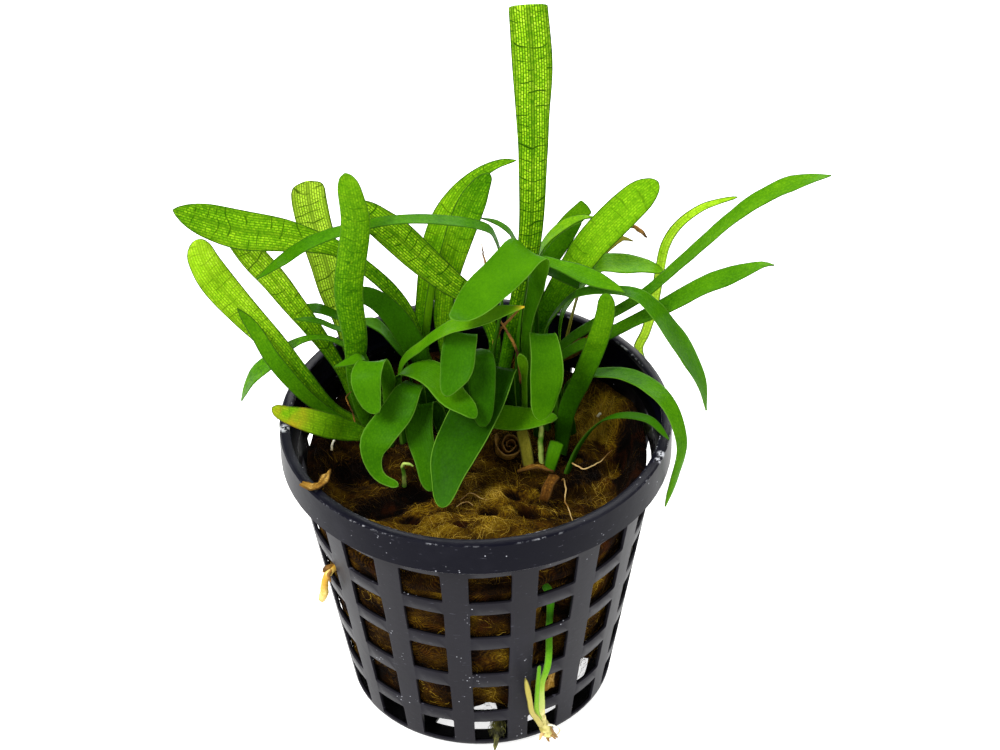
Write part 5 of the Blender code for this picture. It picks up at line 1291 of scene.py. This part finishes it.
scrollLook = {
    "centre": (4.7, 3.45, 37.6), "outer": 1.95, "inner": 0.3, "turns": 2.4, "height": 2.3, "start": 2.4,
    "lean": 0.5, "thick": 0.16 * mm, "columns": 90, "rows": 6,
}


def makeScroll():
    look = scrollLook
    axis = Vector((0.08, -math.sin(look["lean"]), math.cos(look["lean"])))
    across = Vector((1, 0, 0))
    onward = axis.cross(across).normalized()
    bm, bladeMap, toneLayer, widthLayer = bladeGrid(look["columns"], look["rows"])
    spots = {}
    for vert in bm.verts:
        along, up = (vert.co.x + 1) / 2, (vert.co.y + 1) / 2
        turn = look["start"] + along * look["turns"] * math.tau
        radius = look["outer"] + (look["inner"] - look["outer"]) * along ** 0.8
        radius *= 1 + 0.2 * noise.noise(Vector((along * 12, up * 1.5, 2))) + 0.18 * up * (1 - along)
        rise = (up - 0.5) * look["height"] * (1 - 0.35 * along)
        rise += 0.6 * up * noise.noise(Vector((along * 17, 7, 3)))
        place = across * radius * math.cos(turn) + onward * radius * math.sin(turn) + axis * rise
        vert.co = (Vector(look["centre"]) + place) * mm
        # painted shade: darker towards the roll's inner turns; painted light: paler towards its top edge
        vert[toneLayer] = (0.52 - 0.4 * along + 0.2 * up, 0.6, 0, 0.5)
        vert[widthLayer] = look["height"]
        spots[vert] = (up, along * 0.2)
    for face in bm.faces:
        for loop in face.loops:
            loop[bladeMap].uv = spots[loop.vert]
    mesh = closeMesh(bm, "deadLeafScroll")
    addSkin(placePiece("deadLeafScroll", mesh, materials[dried], "root_tan", "dead_core"), look["thick"])


# Young plant's root crown: a waisted lump with claws of old roots, and one thin root that loops back

crownLook = {"top": (8.2, -19.3, 5.6), "foot": (9.5, -18.6, 1.3), "half": 0.86}


def makeCrown():
    look = crownLook
    first, second = Vector(look["top"]), Vector(look["foot"])
    along = second - first
    turn = along.to_track_quat("Z", "Y").to_matrix().to_4x4()
    size = Matrix.Diagonal((look["half"], look["half"], along.length / 2, 1))
    bm = bmesh.new()
    bmesh.ops.create_icosphere(bm, subdivisions=4, radius=1)
    bmesh.ops.transform(bm, matrix=Matrix.Translation((first + second) / 2) @ turn @ size, verts=bm.verts)
    axis = along.normalized()
    for vert in bm.verts:
        share = (vert.co - first).dot(axis) / along.length
        middle = first + axis * share * along.length
        lump = 1 + 0.28 * noise.noise(vert.co * 1.4) + 0.16 * noise.noise(vert.co * 3.6)
        vert.co = (middle + (vert.co - middle) * lump * (0.85 + 0.3 * max(0, share))) * mm
    mesh = closeMesh(bm, "youngPlantCrown")
    placePiece("youngPlantCrown", mesh, materials["crown"], "root_tan", "runner_root_crown")


strandLook = {"thickest": 0.6 * mm, "step": 0.2, "rough": 0.12}
noise.seed_set(1)  # without a seed noise_vector takes its offsets from the clock


def curvedStrand(route, seed, rough=strandLook["rough"], count=14):
    # points of a strand through a route in mm, with a radius in mm in the fourth place
    points = [Vector(spot) for spot in route]
    strand = []
    for place, direction, share in evenStations(smoothRoute(points), strandLook["step"], count)[0]:
        shift = noise.noise_vector(place.xyz * 1.3 + Vector((seed, 0, 0))) * rough
        strand.append(((place.xyz + shift) * mm, place.w * mm / strandLook["thickest"]))
    return strand


# thin parts at the photograph's places, in mm: x, y, height, radius
strandGroups = {
    "youngPlantRoots": ("root", "root_tan", [
        [(8.6, -19.4, 3.2, 0.32), (8.1, -19.8, 2.5, 0.22), (7.9, -19.9, 2, 0.1)],
        [(9.4, -18.9, 2.4, 0.34), (9.2, -19.4, 1.8, 0.26), (9.4, -19.5, 1.3, 0.12)],
        [(9.8, -18.4, 2.2, 0.32), (10.3, -18.7, 1.5, 0.24), (10.6, -18.7, 1.2, 0.12)],
        [(9.2, -19, 2.8, 0.3), (9.9, -19.4, 2.2, 0.2), (10.3, -19.4, 1.7, 0.1)],
        [(8.9, -18.9, 4.2, 0.3), (9.7, -19.2, 3.4, 0.26), (9.9, -19.1, 2.6, 0.2)],
    ]),
    "youngPlantRootLoop": ("whiteRoot", "root_tan", [
        [(9.2, -19.5, 4.6, 0.14), (10.2, -19.7, 4.5, 0.13), (10.9, -19.5, 3.6, 0.12),
         (10.8, -19.4, 2.8, 0.1), (10.5, -19.3, 2.4, 0.06)],
    ]),
    "surfaceRoots": ("root", "root_tan", [
        [(12, -2.4, 36, 0.12), (12.2, -3.6, 37.2, 0.12), (12.4, -5.6, 37, 0.1), (12.2, -8.5, 37.3, 0.09),
         (12.7, -10.6, 37.4, 0.07), (13, -12.5, 37.2, 0.04)],
        [(13.2, 0.6, 36.6, 0.11), (14.2, -0.6, 37, 0.11), (15.3, -1.4, 37.1, 0.1), (17.4, 0.2, 37, 0.08),
         (19.2, 2.9, 36.8, 0.04)],
        [(-2.4, -8, 37.6, 0.05), (-1.1, -7.2, 38.2, 0.05), (0.2, -8.2, 38.3, 0.04),
         (1.3, -8.5, 37.9, 0.03)],
        [(-3, -9.6, 37.8, 0.04), (-1.6, -9, 38.2, 0.04), (-0.6, -9.9, 38.2, 0.03)],
    ]),
    "rootTips": ("whiteRoot", "root_tan", [
        [(-20.7, 3.8, 37.4, 0.18), (-20.5, 4.4, 38.2, 0.18), (-20, 4.9, 38.8, 0.14),
         (-19.5, 4.7, 39.1, 0.07)],
        [(17.6, 9.2, 38, 0.2), (17.9, 9, 38.6, 0.16), (18, 8.6, 38.9, 0.05)],
    ]),
    "deadStalks": ("stalk", "root_tan", [
        [(18, 15.6, 63.6, 0.18), (19.5, 16, 66, 0.2), (21.1, 16, 67, 0.22), (22.5, 16, 66.6, 0.27),
         (23.7, 16, 65.8, 0.33), (24.7, 16, 64.6, 0.14)],
        [(1.4, 11.5, 67.6, 0.06), (1.6, 11.5, 66.1, 0.12), (1.9, 11.5, 64, 0.16), (2.3, 12, 58, 0.18)],
        [(2.3, 8.2, 47, 0.26), (2.9, 9, 51.8, 0.26), (3.9, 9, 54.6, 0.22), (5.6, 9.4, 56.4, 0.18),
         (6.6, 9.4, 57.8, 0.08)],
        [(6.6, 7.2, 46, 0.24), (6, 8, 51.4, 0.22), (4.4, 8.6, 54.8, 0.2), (3, 9, 57.2, 0.08)],
        [(-17, 5, 38, 0.12), (-17.3, 5.8, 42, 0.12), (-18.2, 6, 45.2, 0.1), (-17.4, 5.4, 46.8, 0.05)],
    ]),
    "youngStalk": ("sprout", "leaf_light", [
        [(9.3, 1.8, 35.6, 0.42), (9.1, 2.1, 38.2, 0.4), (9.2, 2.8, 41, 0.36), (9.3, 3.6, 43, 0.2)],
    ]),
    "paleSprout": ("sprout", "leaf_light", [
        [(-10.3, -2.6, 35.8, 0.32), (-10.3, -3, 38.4, 0.3), (-10.4, -3.4, 40, 0.26),
         (-10.2, -3.7, 40.8, 0.22), (-9.4, -3.9, 41, 0.2), (-8.9, -4, 40.7, 0.1)],
    ]),
    "youngPlantSheath": ("crown", "leaf_light", [
        [(8.1, -19.5, 10.6, 0.5), (8.1, -19.6, 8.6, 0.62), (8.2, -19.5, 6.6, 0.7), (8.4, -19.3, 4.8, 0.66)],
    ]),
}


def makeStrandGroups():
    for seed, (name, (look, slotName, routes)) in enumerate(strandGroups.items()):
        strands = [curvedStrand(route, seed * 7 + i) for i, route in enumerate(routes)]
        placePiece(name, strandsMesh(name, strands, strandLook["thickest"], 2), materials[look], slotName)


# Yellow shoot at the left: a knotted orange root end, and the bent pale shoot that hangs from it
shootRoute = [(-19.4, -9.6, 27.6, 0.5), (-20.8, -10.9, 27.9, 0.55), (-21.7, -11.9, 26.9, 0.5),
              (-22, -11.8, 24.4, 0.62), (-22.4, -11, 22.6, 0.56), (-22.5, -10.5, 21.4, 0.12)]
knotRoutes = [[(-20.6, -10.6, 28.2, 0.3), (-21.5, -11.2, 28.5, 0.34), (-22, -11.2, 27.7, 0.2)],
              [(-20.9, -11.2, 28.1, 0.3), (-21.2, -12, 27.6, 0.26), (-20.9, -12.4, 26.9, 0.1)],
              [(-21.6, -11.6, 27.6, 0.3), (-21.9, -11.9, 26.6, 0.3), (-21.7, -11.9, 25.6, 0.14)]]
# olive root hair that hangs out of the lowest front window
tuftRoute = [(2.1, -17.4, 5.2, 0.2), (2, -18.6, 3.8, 0.3), (1.8, -19.8, 2.7, 0.34), (1.6, -20.4, 1.4, 0.3),
             (1.5, -20.3, 0.5, 0.06)]
tuftLook = {"hairs": 260, "thick": 0.05 * mm, "spread": 0.45, "points": 7, "sill": 1.75, "ground": 0.12}


def makeShootAndTuft():
    thickest = strandLook["thickest"]
    mesh = strandsMesh("yellowShootVisual", [curvedStrand(shootRoute, 3, 0.1, 24)], thickest, 3)
    placePiece("yellowShootVisual", mesh, materials["shoot"], "leaf_light", "yellow_shoot")
    strands = [curvedStrand(route, 5 + i) for i, route in enumerate(knotRoutes)]
    placePiece("shootKnot", strandsMesh("shootKnot", strands, thickest, 2), materials["stalk"], "root_tan")
    chance = random.Random(12)
    strands = [curvedStrand(tuftRoute, 9)]
    middle = [place / mm for place, radius in curvedStrand(tuftRoute, 9, 0.0, 20)]
    for i in range(tuftLook["hairs"]):
        start = chance.randrange(0, 12)
        shift = Vector((chance.gauss(0, 1), 0.4 * chance.gauss(0, 1), 0.7 * chance.gauss(0, 1)))
        shift *= tuftLook["spread"]
        points = []
        for j in range(tuftLook["points"]):
            spot = middle[start + j] + shift
            # over the sill of the window, and never below the surface the pot stands on
            low = tuftLook["sill"] if -19.9 < spot.y < -18.4 else tuftLook["ground"]
            place = Vector((spot.x, spot.y, max(low, spot.z))) * mm
            points.append((place, tuftLook["thick"] / thickest * (1 - 0.1 * j)))
            shift += Vector((chance.gauss(0, 1), 0.3 * chance.gauss(0, 1), chance.gauss(0, 1))) * 0.1
        strands.append(points)
    mesh = strandsMesh("rootTuftVisual", strands, thickest)
    placePiece("rootTuftVisual", mesh, materials["tuft"], "leaf_old", "root_tuft")


# Dry scraps: name, tones, tip, width directions, route, crumple
scraps = [
    ("dried_flake", (0.55, 0.7, 0.5, 0.75, 0.6), "point", [(0.6, 0.8, 0), (-0.2, 1, 0), (-0.95, 0.3, 0)],
     [(-23.9, -14.4, 46.9, 0.9), (-22.6, -15.3, 46.9, 1.4), (-21.6, -15.1, 46.9, 0.9),
      (-20.9, -13.7, 46.9, 1.3), (-20.1, -11.5, 46.6, 0.5)], 0.55),
    ("orangeFlake", (0.4, 0.5, 0.42), "point", [(0.2, 0.9, -0.2)],
     [(5.8, -1.4, 37, 0.6), (8.2, -1.5, 38, 1), (10.8, -2.4, 37.6, 0.5)], 0.3),
    ("brownStub", (0.2, 0.32, 0.3), "cut", [(0.9, -0.3, 0.1)],
     [(9.2, -7.2, 36.4, 1.3), (10, -5.6, 38, 1.6), (10.8, -4.2, 38.6, 1.2)], 0.4),
    ("brownLeaf", (0.3, 0.4, 0.35), "point", [(0.3, 0.2, 0.9)],
     [(12.2, 8.4, 49.4, 1), (14.2, 8.3, 51, 1.8), (15.8, 8.3, 52.5, 1.4), (17, 8.2, 53.8, 0.6)], 0.4),
    ("paleWoolTuft", (0.62, 0.7, 0.6), "cut", [(1, 0.3, 0)],
     [(9.1, -17, 9.2, 2.2), (9.2, -17.2, 11.6, 2.6), (9.4, -17.4, 13.8, 2)], 0.7),
]


def makeScraps():
    for number, (name, tones, tip, across, route, crumple) in enumerate(scraps):
        makeBlade(90 + number, name, dried, tones, 0.6, tip, across, route, crumple, name + "_scrap")


makeScroll()
makeCrown()
makeStrandGroups()
makeShootAndTuft()
makeScraps()
print("small pieces ready")
